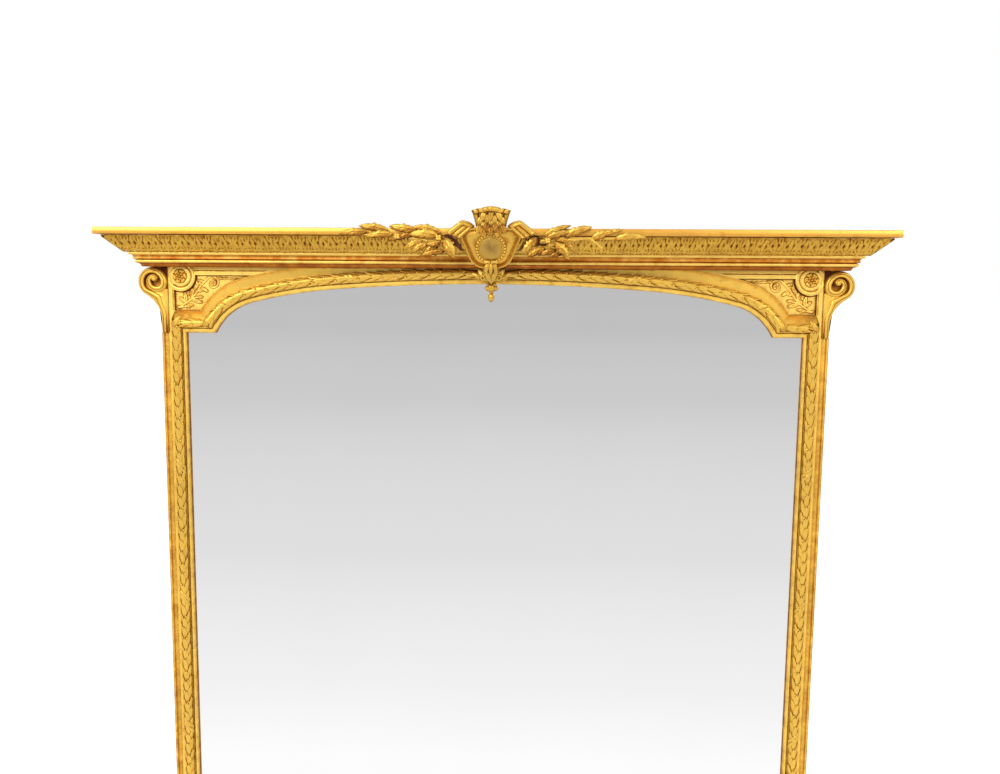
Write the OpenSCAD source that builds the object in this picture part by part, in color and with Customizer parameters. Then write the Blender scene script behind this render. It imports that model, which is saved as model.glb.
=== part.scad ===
// Giltwood overmantel mirror with an arched, shouldered head.
// Axes: X across the width, +Z up, the front faces -Y. The back of the frame is the plane y = 0 and
// the plinth stands on z = 0. "Height" of a face in a section means its distance in front of y = 0.

/* [Opening] */
// Width of the opening between the two side mouldings
sight_w = 1466; // [1200:2:1800]
// Height of the opening at the side, from the bottom moulding up to the shoulder of the arch
sight_h = 1328; // [900:2:1700]

/* [Arch] */
// Rise of the arch above its shoulders
arch_rise = 120.4; // [117:0.2:122]
// Width of each shoulder, from the side of the opening to the tip of the arch
shoulder_w = 70.5; // [60:0.5:80]
// Radius of the arc at each haunch
haunch_r = 1165; // [1130:1:1200]
// Radius of the arc that comes down to each shoulder
end_r = 136.6; // [132:0.2:140]
// Angle from the vertical at which the crown arc meets the haunch arc
crown_angle = 4.43; // [4.3:0.01:4.6]
// Angle from the vertical at which the haunch arc meets the end arc
haunch_angle = 14.31; // [14:0.01:14.8]

/* [Carcass] */
// Thickness of the pine stiles and rails
carcass_t = 38; // [34:1:44]
// Width by which the mouldings overhang the carcass and hold the glass
rebate_w = 10; // [9:1:12]
// Width of the rebate that takes the backboards
back_rebate_w = 12; // [10:1:14]
// Depth of the rebate that takes the backboards
back_rebate_t = 12; // [10:1:14]
// Height above the shoulder at which the backboards end
board_top = 145; // [138:1:150]
// Number of backboards
board_count = 4; // [4]
// Gap between neighbouring backboards
board_gap = 1.5; // [0.5:0.1:3]
// Thickness of a backboard
board_t = 10; // [8:0.5:10]

/* [Glass] */
// Thickness of the mirror plate
glass_t = 5; // [4:0.5:6]
// Width of the mirror plate's edge behind the mouldings
glass_lap = 8; // [6:0.5:8.5]
// Gap between the plate and the back of the sight mouldings
glass_gap = 0.3; // [0.2:0.1:0.6]

/* [Side moulding] */
// Width of the sight edge on the sides
side_sight_w = 11; // [10:0.5:13]
// Width of the laurel garland's channel on the sides
side_garland_w = 20; // [18:0.5:22]
// Width of the light flat strip outside the garland
strip_w = 7; // [6:0.5:9]
// Width of the sunk hollow outside the strip
hollow_w = 12; // [11:0.5:13]
// Width of the outer bead
edge_w = 6; // [5:0.5:7]

/* [Head moulding] */
// Width of the sight edge on the arch and the shoulders
head_sight_w = 14; // [12:0.5:16]
// Width of the laurel garland's channel on the arch and the shoulders
head_garland_w = 21; // [19:0.5:22]
// Offset of the shoulder's outer arris from the opening
shoulder_cove_w = 53; // [49:0.5:56]
// Offset of the arch's outer arris from the opening over the crown and the haunches
arch_cove_w = 61; // [58:0.5:64]
// Radius of the outer arris where it comes down to the shoulder
arris_end_r = 171.5; // [168:0.5:176]

/* [Section heights] */
// Height of the rounded sight edge in front of the carcass
lip_h = 12; // [10:0.5:14]
// Radius that rounds the sight edge
lip_r = 5; // [3:0.5:6]
// Width of the dark quirk beside the sight fillet
quirk_w = 1.6; // [1:0.1:2.5]
// Width of the sight fillet
fillet_w = 2.2; // [1.5:0.1:3]
// Height of the garland's seat in front of the carcass
seat_h = 10; // [8:0.5:11]
// Height of the spandrel boards' face and of the outer arrises in front of the carcass
face_h = 20; // [18:0.5:23]
// Depth of the sunk fields and hollows
sunk_t = 8; // [6:0.5:9]
// Width of the flat left on a cove's outer arris
arris_w = 1; // [0.6:0.1:1.5]

/* [Garland] */
// Distance from one ribbon tie to the next along the garland
tie_pitch = 332; // [280:1:360]
// Number of leaf whorls between two ribbon ties
whorl_count = 12; // [8:1:14]
// Height by which each whorl stands proud at its tips
whorl_lift = 1.4; // [1:0.1:2]
// Width of a ribbon tie
tie_w = 9; // [6:0.5:12]
// Angle at which the ribbon crosses the garland
tie_angle = 38; // [25:1:45]

/* [Spandrel] */
// Width of the vertical border strip beside the console
border_w = 15; // [12:0.5:17]
// Radius of the round ear that carries the rosette
ear_r = 36; // [33:0.5:38]
// Radius of the rosette
rosette_r = 18; // [15:0.5:20]
// Height of the ear's centre above the shoulder
ear_z = 134.5; // [130:0.5:138]
// Height of the field's upper edge above the shoulder
field_top = 137; // [132:0.5:142]

/* [Console] */
// Outer radii of the volute's quarter arcs, from the right side upwards and inwards
volute_radii = [35, 37, 24, 27, 15, 12];
// Height of the volute's first centre above the shoulder
volute_z = 121.2; // [120:0.1:121.2]
// Projection of the volute beyond the side of the frame
volute_out = 55; // [53:0.5:57]
// Width of the band that forms the scroll
band_w = 10; // [8:0.5:10.5]
// Radius of the band's tail below the volute
tail_r = 70; // [66:1:74]
// Angle below the level at which the tail turns into the hollow curve
tail_angle = 49; // [47:0.5:50]
// Radius of the hollow curve below the tail
console_hollow_r = 79; // [76:1:82]
// Radius of the volute's eye
eye_r = 8; // [6:0.5:9]

/* [Cornice] */
// Height of the cornice's underside above the shoulder
cornice_z = 156.5; // [155.8:0.1:158]
// Projection of the cap beyond the front and the sides of the frame
cap_out = 111; // [100:1:125]
// Height of the cap's fascia
cap_h = 15.7; // [13:0.1:18]
// Depth of the cap from front to back
cap_depth = 26; // [20:1:36]
// Height of the leaf moulding
leaf_h = 37; // [33:0.5:40]
// Height of the bed moulding's fillet
bed_fillet_h = 8.5; // [7:0.5:10]
// Height of the bed moulding's hollow
bed_hollow_h = 9.5; // [8:0.5:11]
// Height of the bed moulding's bead
bed_bead_h = 8; // [7:0.5:9]
// Height of the deep cove under the bead
bed_cove_h = 8.5; // [7:0.5:10]
// Projection of the bed moulding's fillet
bed_out = 53; // [50:1:56]
// Projection of the bed moulding's bead
bead_out = 43; // [41:0.5:45]
// Thickness of the top board
top_board_t = 9.5; // [8:0.5:11]
// Side of the glue blocks under the top board
glue_block = 30; // [20:1:36]
// Number of glue blocks
glue_block_count = 7; // [5:1:9]
// Width of one carved leaf
leaf_pitch = 31; // [26:0.5:38]
// Diameter of the raised midrib that marks each leaf on the moulding
leaf_rib_d = 5; // [4:0.5:7]

/* [Plinth] */
// Height of the plinth board, on which the bottom moulding stands
plinth_h = 34; // [28:1:60]
// Thickness of the plinth board
plinth_t = 24; // [20:1:30]
// Width of a plinth block
block_w = 72; // [66:1:80]
// Projection of the plinth blocks beyond the board and the side
block_out = 8; // [5:0.5:12]

/* [Crest] */
// Radius of the shield's round lower outline
shield_r = 70; // [64:1:74]
// Height of the shield's centre above the shoulder
shield_z = 221; // [218:1:224]
// Lean of the cartouche's face out of the vertical
shield_lean = 18; // [14:1:20]
// Thickness of the shield plate
shield_t = 12; // [10:0.5:14]
// Radius of the dished disc
disc_r = 24.5; // [22:0.5:26]
// Number of beads round the disc
bead_count = 28; // [20:1:32]
// Radius of a bead
bead_r = 3; // [2.4:0.1:3.3]
// Radius of the palmette at its top
palmette_r = 42; // [38:1:46]
// Height of the palmette
palmette_h = 50; // [46:1:54]
// Number of lobes of the palmette
lobe_count = 7; // [5:2:9]
// Radius of a scroll ear
roll_r = 15; // [13:0.5:17]
// Length of a scroll ear
roll_len = 36; // [32:1:40]
// Thickness of a laurel leaf
leaf_t = 3; // [2.5:0.1:4]
// Radius of a laurel berry
berry_r = 6; // [5:0.5:7]

/* [Hangers] */
// Height of the hanger pivots below the shoulder
hanger_drop = 118; // [80:1:300]
// Radius of the wire of the D-ring
wire_r = 2; // [1.6:0.1:2.5]
// Radius of the D-ring's bow, to the middle of the wire
bow_r = 12; // [10:0.5:12.5]
// Width of the strap
strap_w = 18; // [16:0.5:19]
// Thickness of the strap
strap_t = 1.6; // [1.2:0.1:2]
// Length of the strap above its knuckle
strap_len = 46; // [40:1:60]
// Running clearance between the ring's bar and the knuckle
bar_gap = 0.1; // [0.05:0.01:0.1]

/* [Hidden] */
$fn = 96;
big_fn = 720;
eps = 0.01;
// Clearance at which pieces that only rest on each other are set
seat_gap = 0.3;
half_w = sight_w / 2;
moulding_w = side_sight_w + side_garland_w + strip_w + hollow_w + edge_w;
rail_h = plinth_h + moulding_w;
body_x = half_w + moulding_w;
shoulder_z = rail_h + sight_h;
seat_y = carcass_t + seat_h;
face_y = carcass_t + face_h;
strip_x = half_w + side_sight_w + side_garland_w;
console_x = strip_x + strip_w;
border_x = strip_x + strip_w - border_w;
// Edge of the recess that takes the backboards, at the sides and at the bottom
back_x = half_w + rebate_w + back_rebate_w;
back_z = rail_h - rebate_w - back_rebate_w;
cap_z0 = cornice_z + bed_cove_h + bed_bead_h + bed_hollow_h + bed_fillet_h + leaf_h;
cap_z1 = cap_z0 + cap_h;
bed_z1 = cap_z0 - leaf_h;
ground_z1 = cap_z1 - top_board_t;
// Half of the hairline joint between two lengths of the arch's mouldings, as an angle at the haunch
butt_angle = 0.0015;
// A length that reaches well past whatever it cuts
overlap = 200;

// Centres of the arch's arcs, as [x, z] with z above the shoulder, for a curve that crosses the
// centre line at height top and turns from one radius to the next at the two driving angles
function dir(a) = [sin(a), cos(a)];
function crown_c(top, r1) = [0, top - r1];
function haunch_c(top, r1, r2) = crown_c(top, r1) + (r1 - r2) * dir(crown_angle);
function end_c(top, r1, r2, r3) = haunch_c(top, r1, r2) + (r2 - r3) * dir(haunch_angle);
// Radius of the flat arc over the middle with which the ends come down onto the shoulders' tips: the
// end arc's centre lies on a line that moves with this radius, at end_r from the tip
tip_x = half_w - shoulder_w;
near_c = end_c(arch_rise, 0, haunch_r, end_r) - [tip_x, 0];
crown_shift = dir(crown_angle) - [0, 1];
crown_r = (sqrt(pow(near_c * crown_shift, 2) - crown_shift * crown_shift * (near_c * near_c - pow(end_r, 2)))
    * -1 - near_c * crown_shift) / (crown_shift * crown_shift);
sight_c = end_c(arch_rise, crown_r, haunch_r, end_r);
arris_c = end_c(arch_rise + arch_cove_w, crown_r + arch_cove_w, haunch_r + arch_cove_w, arris_end_r);
knee_x = arris_c[0] + sqrt(pow(arris_end_r, 2) - pow(shoulder_cove_w - arris_c[1], 2));

// Garland: distance of its inner and outer edge and of its axis from the opening, and its radius
head_garland_end = head_sight_w + head_garland_w;
garland_y = seat_y + 6;
side_garland_u = side_sight_w + side_garland_w / 2;
side_garland_r = side_garland_w / 2;
head_garland_u = head_sight_w + head_garland_w / 2;
head_garland_r = head_garland_w / 2;

// Spandrel
field_y = face_y - sunk_t;
ear_x = border_x - 16;

// Console: centre of each quarter arc of the volute, as [x, z]. Each next one is shifted towards the
// point where the two quarters meet, so that the spiral stays smooth
function turn(a) = [cos(a), sin(a)];
function volute_c(i) = i == 0
    ? [body_x + volute_out - volute_radii[0], volute_z]
    : volute_c(i - 1) + (volute_radii[i - 1] - volute_radii[i]) * turn(90 * i);
last_turn = len(volute_radii) - 1;
tail_c = volute_c(0) + (volute_radii[0] - tail_r) * turn(0);
hollow_c = tail_c + (tail_r + console_hollow_r) * turn(-tail_angle);

// Cornice: distance in front of y = 0 of the cap's face, and of the shield's face at its centre
cap_y = face_y + cap_out;
shield_y = cap_y + 13;
leaf_low = bed_out + 4;
leaf_high = cap_out - 14;

// Back
board_span = 2 * (back_x - seat_gap);
board_w = (board_span - (board_count - 1) * board_gap) / board_count;
board_z0 = back_z + seat_gap;
board_z1 = shoulder_z + board_top - seat_gap;
function board_x(i) = -board_span / 2 + i * (board_w + board_gap);
screw_r = 2;
head_r = 4;
screw_len = 22;

// Hangers
hanger_x = (back_x + body_x) / 2;
pivot_z = shoulder_z - hanger_drop;
knuckle_r = wire_r + bar_gap + strap_t;
strap_screws = [strap_len * 0.45, strap_len * 0.82];

// ---- ways of placing sections and outlines ----

// An outline drawn in the front view, as x and z, made solid from one height to another
module plate(from, to) {
    rotate([90, 0, 0]) translate([0, 0, from]) linear_extrude(to - from) children();
}

// A section drawn as distance from the opening and height, run along the right side
module side_run(z0, z1) {
    translate([half_w, 0, z0]) mirror([0, 1, 0]) linear_extrude(z1 - z0) children();
}

// The same section run along the bottom
module bottom_run() {
    length = 2 * body_x + overlap;
    translate([-length / 2, 0, rail_h]) rotate([0, 90, 0]) mirror([0, 1, 0])
        linear_extrude(length) children();
}

// The same section run along the right shoulder, from its inner end at x0 to the corner
module shoulder_run(x0) {
    translate([strip_x, 0, shoulder_z]) rotate([0, -90, 0]) mirror([0, 1, 0])
        linear_extrude(strip_x - x0) children();
}

// A section swept round one arc of the right half of the arch, angles from the vertical
module arc_run(centre, r, a0, a1) {
    translate([centre[0], 0, shoulder_z + centre[1]]) rotate([90, 0, 0])
        rotate([0, 0, 90 - a1]) rotate_extrude(angle = a1 - a0, $fn = big_fn)
        translate([r, 0]) children();
}

// A section swept round the crown and the two haunches, with a hairline butt joint at both ends of
// each haunch
module upper_arch_run() {
    arc_run(crown_c(arch_rise, crown_r), crown_r, -crown_angle, crown_angle) children();
    for (side = [0, 1]) mirror([side, 0, 0])
        arc_run(haunch_c(arch_rise, crown_r, haunch_r), haunch_r, crown_angle + butt_angle,
            haunch_angle - butt_angle) children();
}

// A section swept round the two ends, on a curve that lies d outside the opening at the haunches
module lower_arch_run(d, r) {
    for (side = [0, 1]) mirror([side, 0, 0])
        arc_run(end_c(arch_rise + d, crown_r + d, haunch_r + d, r), r, haunch_angle, 84) children();
}

// One slice of the region under an arc, drawn in the front view above the shoulder
module arc_slice(centre, r, a0, a1) {
    intersection() {
        translate(centre) circle(r, $fn = big_fn);
        polygon([centre, centre + 2 * r * dir(a0), centre + 2 * r * dir(a1)]);
    }
}

// The region under the whole arch; chords under its arcs close the seams between the slices
module under_arch(top, r1, r2, r3, a_end) {
    crown_end = crown_c(top, r1) + r1 * dir(crown_angle);
    haunch_end = haunch_c(top, r1, r2) + r2 * dir(haunch_angle);
    arc_slice(crown_c(top, r1), r1, -crown_angle, crown_angle);
    for (side = [0, 1]) mirror([side, 0]) {
        polygon([[0, 0], [0, crown_end[1]], crown_end, haunch_end, [haunch_end[0], 0]]);
        arc_slice(haunch_c(top, r1, r2), r2, crown_angle, haunch_angle);
        arc_slice(end_c(top, r1, r2, r3), r3, haunch_angle, a_end);
    }
}

// Points along the right half of the opening's arch grown by d, on short chords
function arch_points(d) = concat(
    [for (k = [0 : 2]) crown_c(arch_rise, crown_r) + (crown_r + d) * dir(crown_angle * k / 3)],
    [for (k = [0 : 2]) haunch_c(arch_rise, crown_r, haunch_r)
        + (haunch_r + d) * dir(crown_angle + (haunch_angle - crown_angle) * k / 3)],
    [for (k = [0 : 5]) sight_c
        + (end_r + d) * dir(haunch_angle + (acos((d - sight_c[1]) / (end_r + d)) - haunch_angle) * k / 5)]);

// The opening grown by d all round, in the front view: arch, shoulders, sides and bottom
module opening(d) {
    right = concat(arch_points(d), [[half_w + d, d], [half_w + d, -sight_h - d]]);
    last = len(right) - 1;
    translate([0, shoulder_z]) polygon(concat(right,
        [for (i = [last : -1 : 1]) [-right[i][0], right[i][1]]]));
}

// ---- sections of the mouldings, as distance from the opening and height ----

// Sight edge: a rounded lip, a quirk and a fillet
module sight_section(w) {
    top = lip_h - lip_r;
    translate([0, carcass_t]) {
        square([w, top]);
        intersection() {
            translate([lip_r, top]) circle(lip_r);
            translate([0, top]) square([lip_r, lip_r]);
        }
        translate([lip_r, top - eps]) square([w - quirk_w - fillet_w - lip_r, lip_r + eps]);
        translate([w - fillet_w, top - eps]) square([fillet_w, lip_r + eps]);
    }
}

// Side moulding: sight edge, garland seat, flat strip, hollow and outer bead
module side_section() {
    strip_u = side_sight_w + side_garland_w;
    hollow_u = strip_u + strip_w;
    edge_u = hollow_u + hollow_w;
    hollow_r = (pow(hollow_w / 2, 2) + pow(sunk_t, 2)) / (2 * sunk_t);
    sight_section(side_sight_w);
    translate([side_sight_w - eps, carcass_t]) square([side_garland_w + 2 * eps, seat_h]);
    difference() {
        translate([strip_u, carcass_t]) square([moulding_w - strip_u, face_h]);
        translate([(hollow_u + edge_u) / 2, face_y - sunk_t + hollow_r]) circle(hollow_r);
        translate([edge_u, face_y - edge_w / 2]) square([edge_w + eps, edge_w]);
    }
    translate([edge_u + edge_w / 2, face_y - edge_w / 2]) circle(edge_w / 2);
}

// Sight edge and garland seat of the arch and the shoulders
module head_seat_section() {
    sight_section(head_sight_w);
    translate([head_sight_w - eps, carcass_t]) square([head_garland_w + 2 * eps, seat_h]);
}

// Hollow cove inside an outer arris at 0, with a flat floor level with the garland's seat
module cove_section(w) {
    run = shoulder_cove_w - head_garland_end - arris_w;
    drop = face_h - seat_h;
    r = (pow(run, 2) + pow(drop, 2)) / (2 * drop);
    difference() {
        translate([-w, carcass_t]) square([w, face_h]);
        translate([-run - arris_w, seat_y + r]) circle(r);
        translate([-w - eps, seat_y]) square([w + eps - run - arris_w, 2 * r]);
    }
}

// ---- carcass ----

module right_stile() {
    inner = half_w + rebate_w;
    color("peru") difference() {
        translate([inner, -carcass_t, 0])
            cube([body_x - inner, carcass_t, shoulder_z + ground_z1]);
        // rebate for the backboards
        translate([half_w, -back_rebate_t, back_z])
            cube([back_x - half_w, back_rebate_t + eps, shoulder_z + board_top - back_z]);
        // laps for the rails
        translate([half_w, -carcass_t / 2, shoulder_z + board_top])
            cube([overlap, carcass_t, overlap]);
        translate([half_w, -carcass_t / 2, -eps])
            cube([overlap, carcass_t, back_z + eps]);
        hanger_screw_holes();
    }
}

module left_stile() {
    mirror([1, 0, 0]) right_stile();
}

module head_rail() {
    color("peru") difference() {
        union() {
            plate(0, carcass_t) difference() {
                translate([-half_w - rebate_w, shoulder_z + rebate_w])
                    square([2 * (half_w + rebate_w), ground_z1 - rebate_w]);
                opening(rebate_w);
            }
            translate([-body_x, -carcass_t / 2, shoulder_z + board_top])
                cube([2 * body_x, carcass_t / 2, ground_z1 - board_top]);
        }
        // rebate for the backboards
        translate([-body_x, -back_rebate_t, shoulder_z])
            cube([2 * body_x, back_rebate_t + eps, board_top]);
        board_screw_holes();
    }
}

module bottom_rail() {
    color("peru") difference() {
        union() {
            translate([-half_w - rebate_w, -carcass_t, 0])
                cube([2 * (half_w + rebate_w), carcass_t, rail_h - rebate_w]);
            translate([-body_x, -carcass_t / 2, 0])
                cube([2 * body_x, carcass_t / 2, back_z]);
        }
        translate([-body_x, -back_rebate_t, back_z])
            cube([2 * body_x, back_rebate_t + eps, overlap]);
        board_screw_holes();
    }
}

// Glue blocks under the top board, against the cornice ground
module corner_blocks() {
    pitch = 2 * body_x / glue_block_count;
    color("burlywood") for (i = [0 : glue_block_count - 1])
        translate([-body_x + pitch * (i + 0.5) - glue_block, -face_y - seat_gap - glue_block,
            shoulder_z + ground_z1 - glue_block])
            difference() {
                cube([2 * glue_block, glue_block, glue_block]);
                translate([-eps, 0, 0]) rotate([45, 0, 0])
                    translate([0, -2 * glue_block, -glue_block])
                        cube([3 * glue_block, 2 * glue_block, 2 * glue_block]);
            }
}

// ---- plinth ----

module plinth_board() {
    inner = body_x - block_w;
    color("gold") difference() {
        translate([-inner, -carcass_t - plinth_t, 0]) cube([2 * inner, plinth_t, plinth_h]);
        // chamfer on the upper front edge
        translate([-body_x, -carcass_t - plinth_t, plinth_h]) rotate([45, 0, 0])
            translate([0, -3, -3]) cube([2 * body_x, 6, 6]);
    }
}

module right_plinth_block() {
    color("gold") difference() {
        translate([body_x - block_w, -carcass_t - plinth_t - block_out, 0])
            cube([block_w + block_out, carcass_t + plinth_t + block_out, plinth_h]);
        translate([body_x - block_w - eps, -carcass_t, -eps])
            cube([block_w + eps, carcass_t + eps, plinth_h + 2 * eps]);
    }
}

module left_plinth_block() {
    mirror([1, 0, 0]) right_plinth_block();
}

// ---- mouldings ----

// The part of the front that lies on the right side's share of the two mitres
module side_share() {
    top = shoulder_z;
    polygon([[half_w, rail_h], [half_w, top], [strip_x, top + head_garland_end],
        [strip_x, top], [body_x, top], [body_x, rail_h - moulding_w]]);
}

module right_moulding() {
    color("goldenrod") intersection() {
        side_run(rail_h - moulding_w, shoulder_z + shoulder_cove_w) side_section();
        plate(0, overlap) side_share();
    }
}

module left_moulding() {
    mirror([1, 0, 0]) right_moulding();
}

module bottom_share() {
    polygon([[-half_w, rail_h], [half_w, rail_h], [body_x, rail_h - moulding_w],
        [-body_x, rail_h - moulding_w]]);
}

module bottom_moulding() {
    color("goldenrod") intersection() {
        bottom_run() side_section();
        plate(0, overlap) bottom_share();
    }
}

// The shoulder's share: between the mitre with the arch and the mitre with the side
module shoulder_share() {
    translate([0, shoulder_z]) polygon([[tip_x, 0], [half_w, 0], [strip_x, head_garland_end],
        [border_x, shoulder_cove_w], [knee_x, shoulder_cove_w]]);
}

module right_shoulder_moulding() {
    color("goldenrod") intersection() {
        shoulder_run(tip_x - overlap) union() {
            head_seat_section();
            translate([shoulder_cove_w, 0]) cove_section(shoulder_cove_w - head_garland_end + eps);
        }
        plate(0, overlap) shoulder_share();
    }
}

module left_shoulder_moulding() {
    mirror([1, 0, 0]) right_shoulder_moulding();
}

// The arch's share: between the mitres with the shoulders and under the cornice
module arch_share() {
    top = cornice_z - seat_gap;
    out_x = tip_x + (knee_x - tip_x) / shoulder_cove_w * top;
    translate([0, shoulder_z]) polygon([[-tip_x, 0], [tip_x, 0], [out_x, top], [-out_x, top]]);
}

module arch_moulding() {
    w = arch_cove_w - head_garland_end;
    color("goldenrod") intersection() {
        union() {
            upper_arch_run() {
                head_seat_section();
                translate([arch_cove_w, 0]) cove_section(w + eps);
            }
            lower_arch_run(0, end_r) head_seat_section();
            lower_arch_run(arch_cove_w, arris_end_r) cove_section(w + 5);
        }
        plate(0, overlap) arch_share();
    }
}

// ---- laurel garlands ----

// A straight garland of overlapping whorls on its own axis, with ribbon ties, from 0 to length
module whorls(length, r) {
    pitch = tie_pitch / whorl_count;
    count = ceil(length / pitch);
    rotate_extrude() polygon(concat([[0, 0]],
        [for (i = [0 : count - 1], k = [0, 1])
            [k == 0 ? r - whorl_lift : r, min(length, (i + k) * pitch)]],
        [[0, length]]));
}

// A ribbon tie round a garland that runs along z, slanting in the front view
module tie(r) {
    rotate([0, tie_angle, 0]) cylinder(h = tie_w, r = r + whorl_lift / 2, center = true);
}

// Garland and its base in the right side's channel, whorls rising from the bottom
module side_garland(length) {
    translate([0, 0, -side_garland_u]) intersection() {
        union() {
            translate([-side_garland_r, seat_y, 0])
                cube([2 * side_garland_r, garland_y - seat_y, length]);
            translate([0, garland_y, 0]) whorls(length, side_garland_r);
            for (z = [side_garland_u + tie_pitch : tie_pitch : length - tie_pitch / 2])
                translate([0, garland_y, z]) tie(side_garland_r);
        }
        translate([-side_garland_r, seat_y, 0]) cube([2 * side_garland_r, overlap, length]);
    }
}

module right_garland() {
    length = sight_h + 2 * head_garland_u + side_garland_u;
    color("khaki") intersection() {
        translate([half_w + side_garland_u, 0, rail_h]) mirror([0, 1, 0]) side_garland(length);
        plate(0, overlap) side_share();
    }
}

module left_garland() {
    mirror([1, 0, 0]) right_garland();
}

module bottom_garland() {
    length = sight_w + 4 * side_garland_u;
    color("khaki") intersection() {
        translate([-half_w - side_garland_u, 0, rail_h - side_garland_u]) rotate([0, 90, 0])
            mirror([0, 1, 0]) side_garland(length);
        plate(0, overlap) bottom_share();
    }
}

// Half round of a garland on the arch and the shoulders, as distance and height
module head_garland_section() {
    translate([head_garland_u - head_garland_r, seat_y])
        square([2 * head_garland_r, garland_y - seat_y]);
    intersection() {
        translate([head_garland_u, garland_y]) circle(head_garland_r);
        translate([head_sight_w, garland_y - eps]) square([head_garland_w, overlap]);
    }
}

module right_shoulder_garland() {
    color("khaki") intersection() {
        shoulder_run(tip_x - overlap) head_garland_section();
        plate(0, overlap) shoulder_share();
    }
}

module left_shoulder_garland() {
    mirror([1, 0, 0]) right_shoulder_garland();
}

module arch_garland() {
    color("khaki") intersection() {
        union() {
            upper_arch_run() head_garland_section();
            lower_arch_run(0, end_r) head_garland_section();
        }
        plate(seat_y, overlap) arch_share();
    }
}

// A flat pointed leaf in the front view, its tip up, made of two arcs
module leaf_outline(length, width) {
    r = (pow(length, 2) / 4 + pow(width, 2) / 4) / width;
    intersection() {
        translate([r - width / 2, length / 2]) circle(r);
        translate([width / 2 - r, length / 2]) circle(r);
    }
}

// Leaves laid over the garlands' mitres
module corner_leaves() {
    corner = [half_w + side_garland_u, shoulder_z + head_garland_u];
    tip = [tip_x, shoulder_z] + 0.5 * [knee_x - tip_x, shoulder_cove_w];
    bottom = [half_w + side_garland_u, rail_h - side_garland_u];
    color("khaki") for (side = [0, 1]) mirror([side, 0, 0]) {
        for (spot = [[corner, 135, head_garland_r], [tip, 30, head_garland_r],
            [bottom, 45, side_garland_r]]) {
            rise = garland_y + spot[2] + seat_gap;
            plate(rise, rise + leaf_t) translate(spot[0]) rotate(spot[1])
                translate([0, -17]) leaf_outline(34, 15);
        }
    }
}

// ---- spandrels ----

// Everything beside the arch and above the shoulder, in the front view
module spandrel_share() {
    translate([0, shoulder_z]) difference() {
        polygon([[knee_x, shoulder_cove_w], [border_x, shoulder_cove_w],
            [strip_x, head_garland_end], [strip_x, 0], [console_x, 0],
            [console_x, cornice_z - seat_gap], [half_w / 2, cornice_z - seat_gap],
            [half_w / 2, shoulder_cove_w]]);
        under_arch(arch_rise + arch_cove_w, crown_r + arch_cove_w, haunch_r + arch_cove_w,
            arris_end_r, 85);
    }
}

// The sunk field: inside the border strips and outside the round ear
module field_outline() {
    translate([0, shoulder_z]) difference() {
        translate([0, shoulder_cove_w - eps]) square([border_x, field_top - shoulder_cove_w + eps]);
        translate([ear_x, ear_z]) circle(ear_r);
        under_arch(arch_rise + arch_cove_w - 2, crown_r + arch_cove_w - 2,
            haunch_r + arch_cove_w - 2, arris_end_r - 2, 85);
    }
}

module right_spandrel_board() {
    color("goldenrod") difference() {
        plate(carcass_t, face_y) spandrel_share();
        plate(field_y, face_y + overlap) field_outline();
    }
}

module left_spandrel_board() {
    mirror([1, 0, 0]) right_spandrel_board();
}

// Low relief of stems, leaves and one curled scroll, lying on the sunk field
module right_spandrel_scroll() {
    foot = [strip_x - 30, shoulder_z + 62];
    curl = [knee_x - 42, shoulder_z + 117];
    color("khaki") {
        plate(field_y, field_y + 4) intersection() {
            union() {
                // main stem, an arc from the foot to the curl
                difference() {
                    translate(foot + [-10, -30]) circle(62);
                    translate(foot + [-10, -30]) circle(58);
                    translate(foot + [-10, -120]) square([200, 250]);
                    translate(foot + [-110, -120]) square([200, 110]);
                }
                // the curled scroll and its eye
                difference() {
                    translate(curl) circle(13);
                    translate(curl + [1.5, -1]) circle(9.5);
                }
                translate(curl) circle(5);
                // leaves along the stem
                for (k = [[8, 4, -8], [-6, 8, 32], [-22, 14, 58], [2, 0, -46], [-14, 2, 80]])
                    translate(foot + [k[0], k[1]]) rotate(k[2]) leaf_outline(30, 10);
                translate(foot + [-16, 4]) square([22, 5]);
                // husk tail running to the point of the field
                for (i = [0 : 3])
                    translate(curl + [-10 - 13 * i, 7 + 1.5 * i]) rotate(80)
                        leaf_outline(17 - i, 7 - i);
            }
            offset_field();
        }
    }
}

// The field drawn in a little, so that the relief stays inside it
module offset_field() {
    gap = 1.5;
    translate([0, shoulder_z]) difference() {
        translate([0, shoulder_cove_w + gap])
            square([border_x - gap, field_top - shoulder_cove_w - 2 * gap]);
        translate([ear_x, ear_z]) circle(ear_r + gap);
        under_arch(arch_rise + arch_cove_w + gap, crown_r + arch_cove_w + gap,
            haunch_r + arch_cove_w + gap, arris_end_r + gap, 85);
    }
}

module left_spandrel_scroll() {
    mirror([1, 0, 0]) right_spandrel_scroll();
}

// Rosette: five round petals round a raised disc with a centre boss
module right_rosette() {
    petals = 5;
    petal_r = rosette_r * 0.35;
    color("khaki") translate([ear_x + 1, -face_y, shoulder_z + ear_z]) rotate([90, 0, 0]) {
        cylinder(h = 7, r = rosette_r * 0.5);
        for (i = [0 : petals - 1]) rotate(360 / petals * i + 18)
            translate([rosette_r - petal_r, 0, 0]) cylinder(h = 5, r = petal_r);
        translate([0, 0, 6]) cylinder(h = 4, r = rosette_r * 0.2);
    }
}

module left_rosette() {
    mirror([1, 0, 0]) right_rosette();
}

// ---- consoles ----

// A section swept round a part circle in the front view, angles from the right, turning upwards
module scroll_run(centre, a0, a1) {
    translate([centre[0], 0, shoulder_z + centre[1]]) rotate([90, 0, 0]) rotate([0, 0, a0])
        rotate_extrude(angle = a1 - a0) children();
}

// The scroll's band with its outer side at r, its upper edges bevelled
module band_section(r) {
    bevel = band_w / 4;
    foot = field_y - 1;
    polygon([[r - band_w, foot], [r - band_w, face_y - bevel], [r - band_w + bevel, face_y],
        [r - bevel, face_y], [r, face_y - bevel], [r, foot]]);
}

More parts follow.
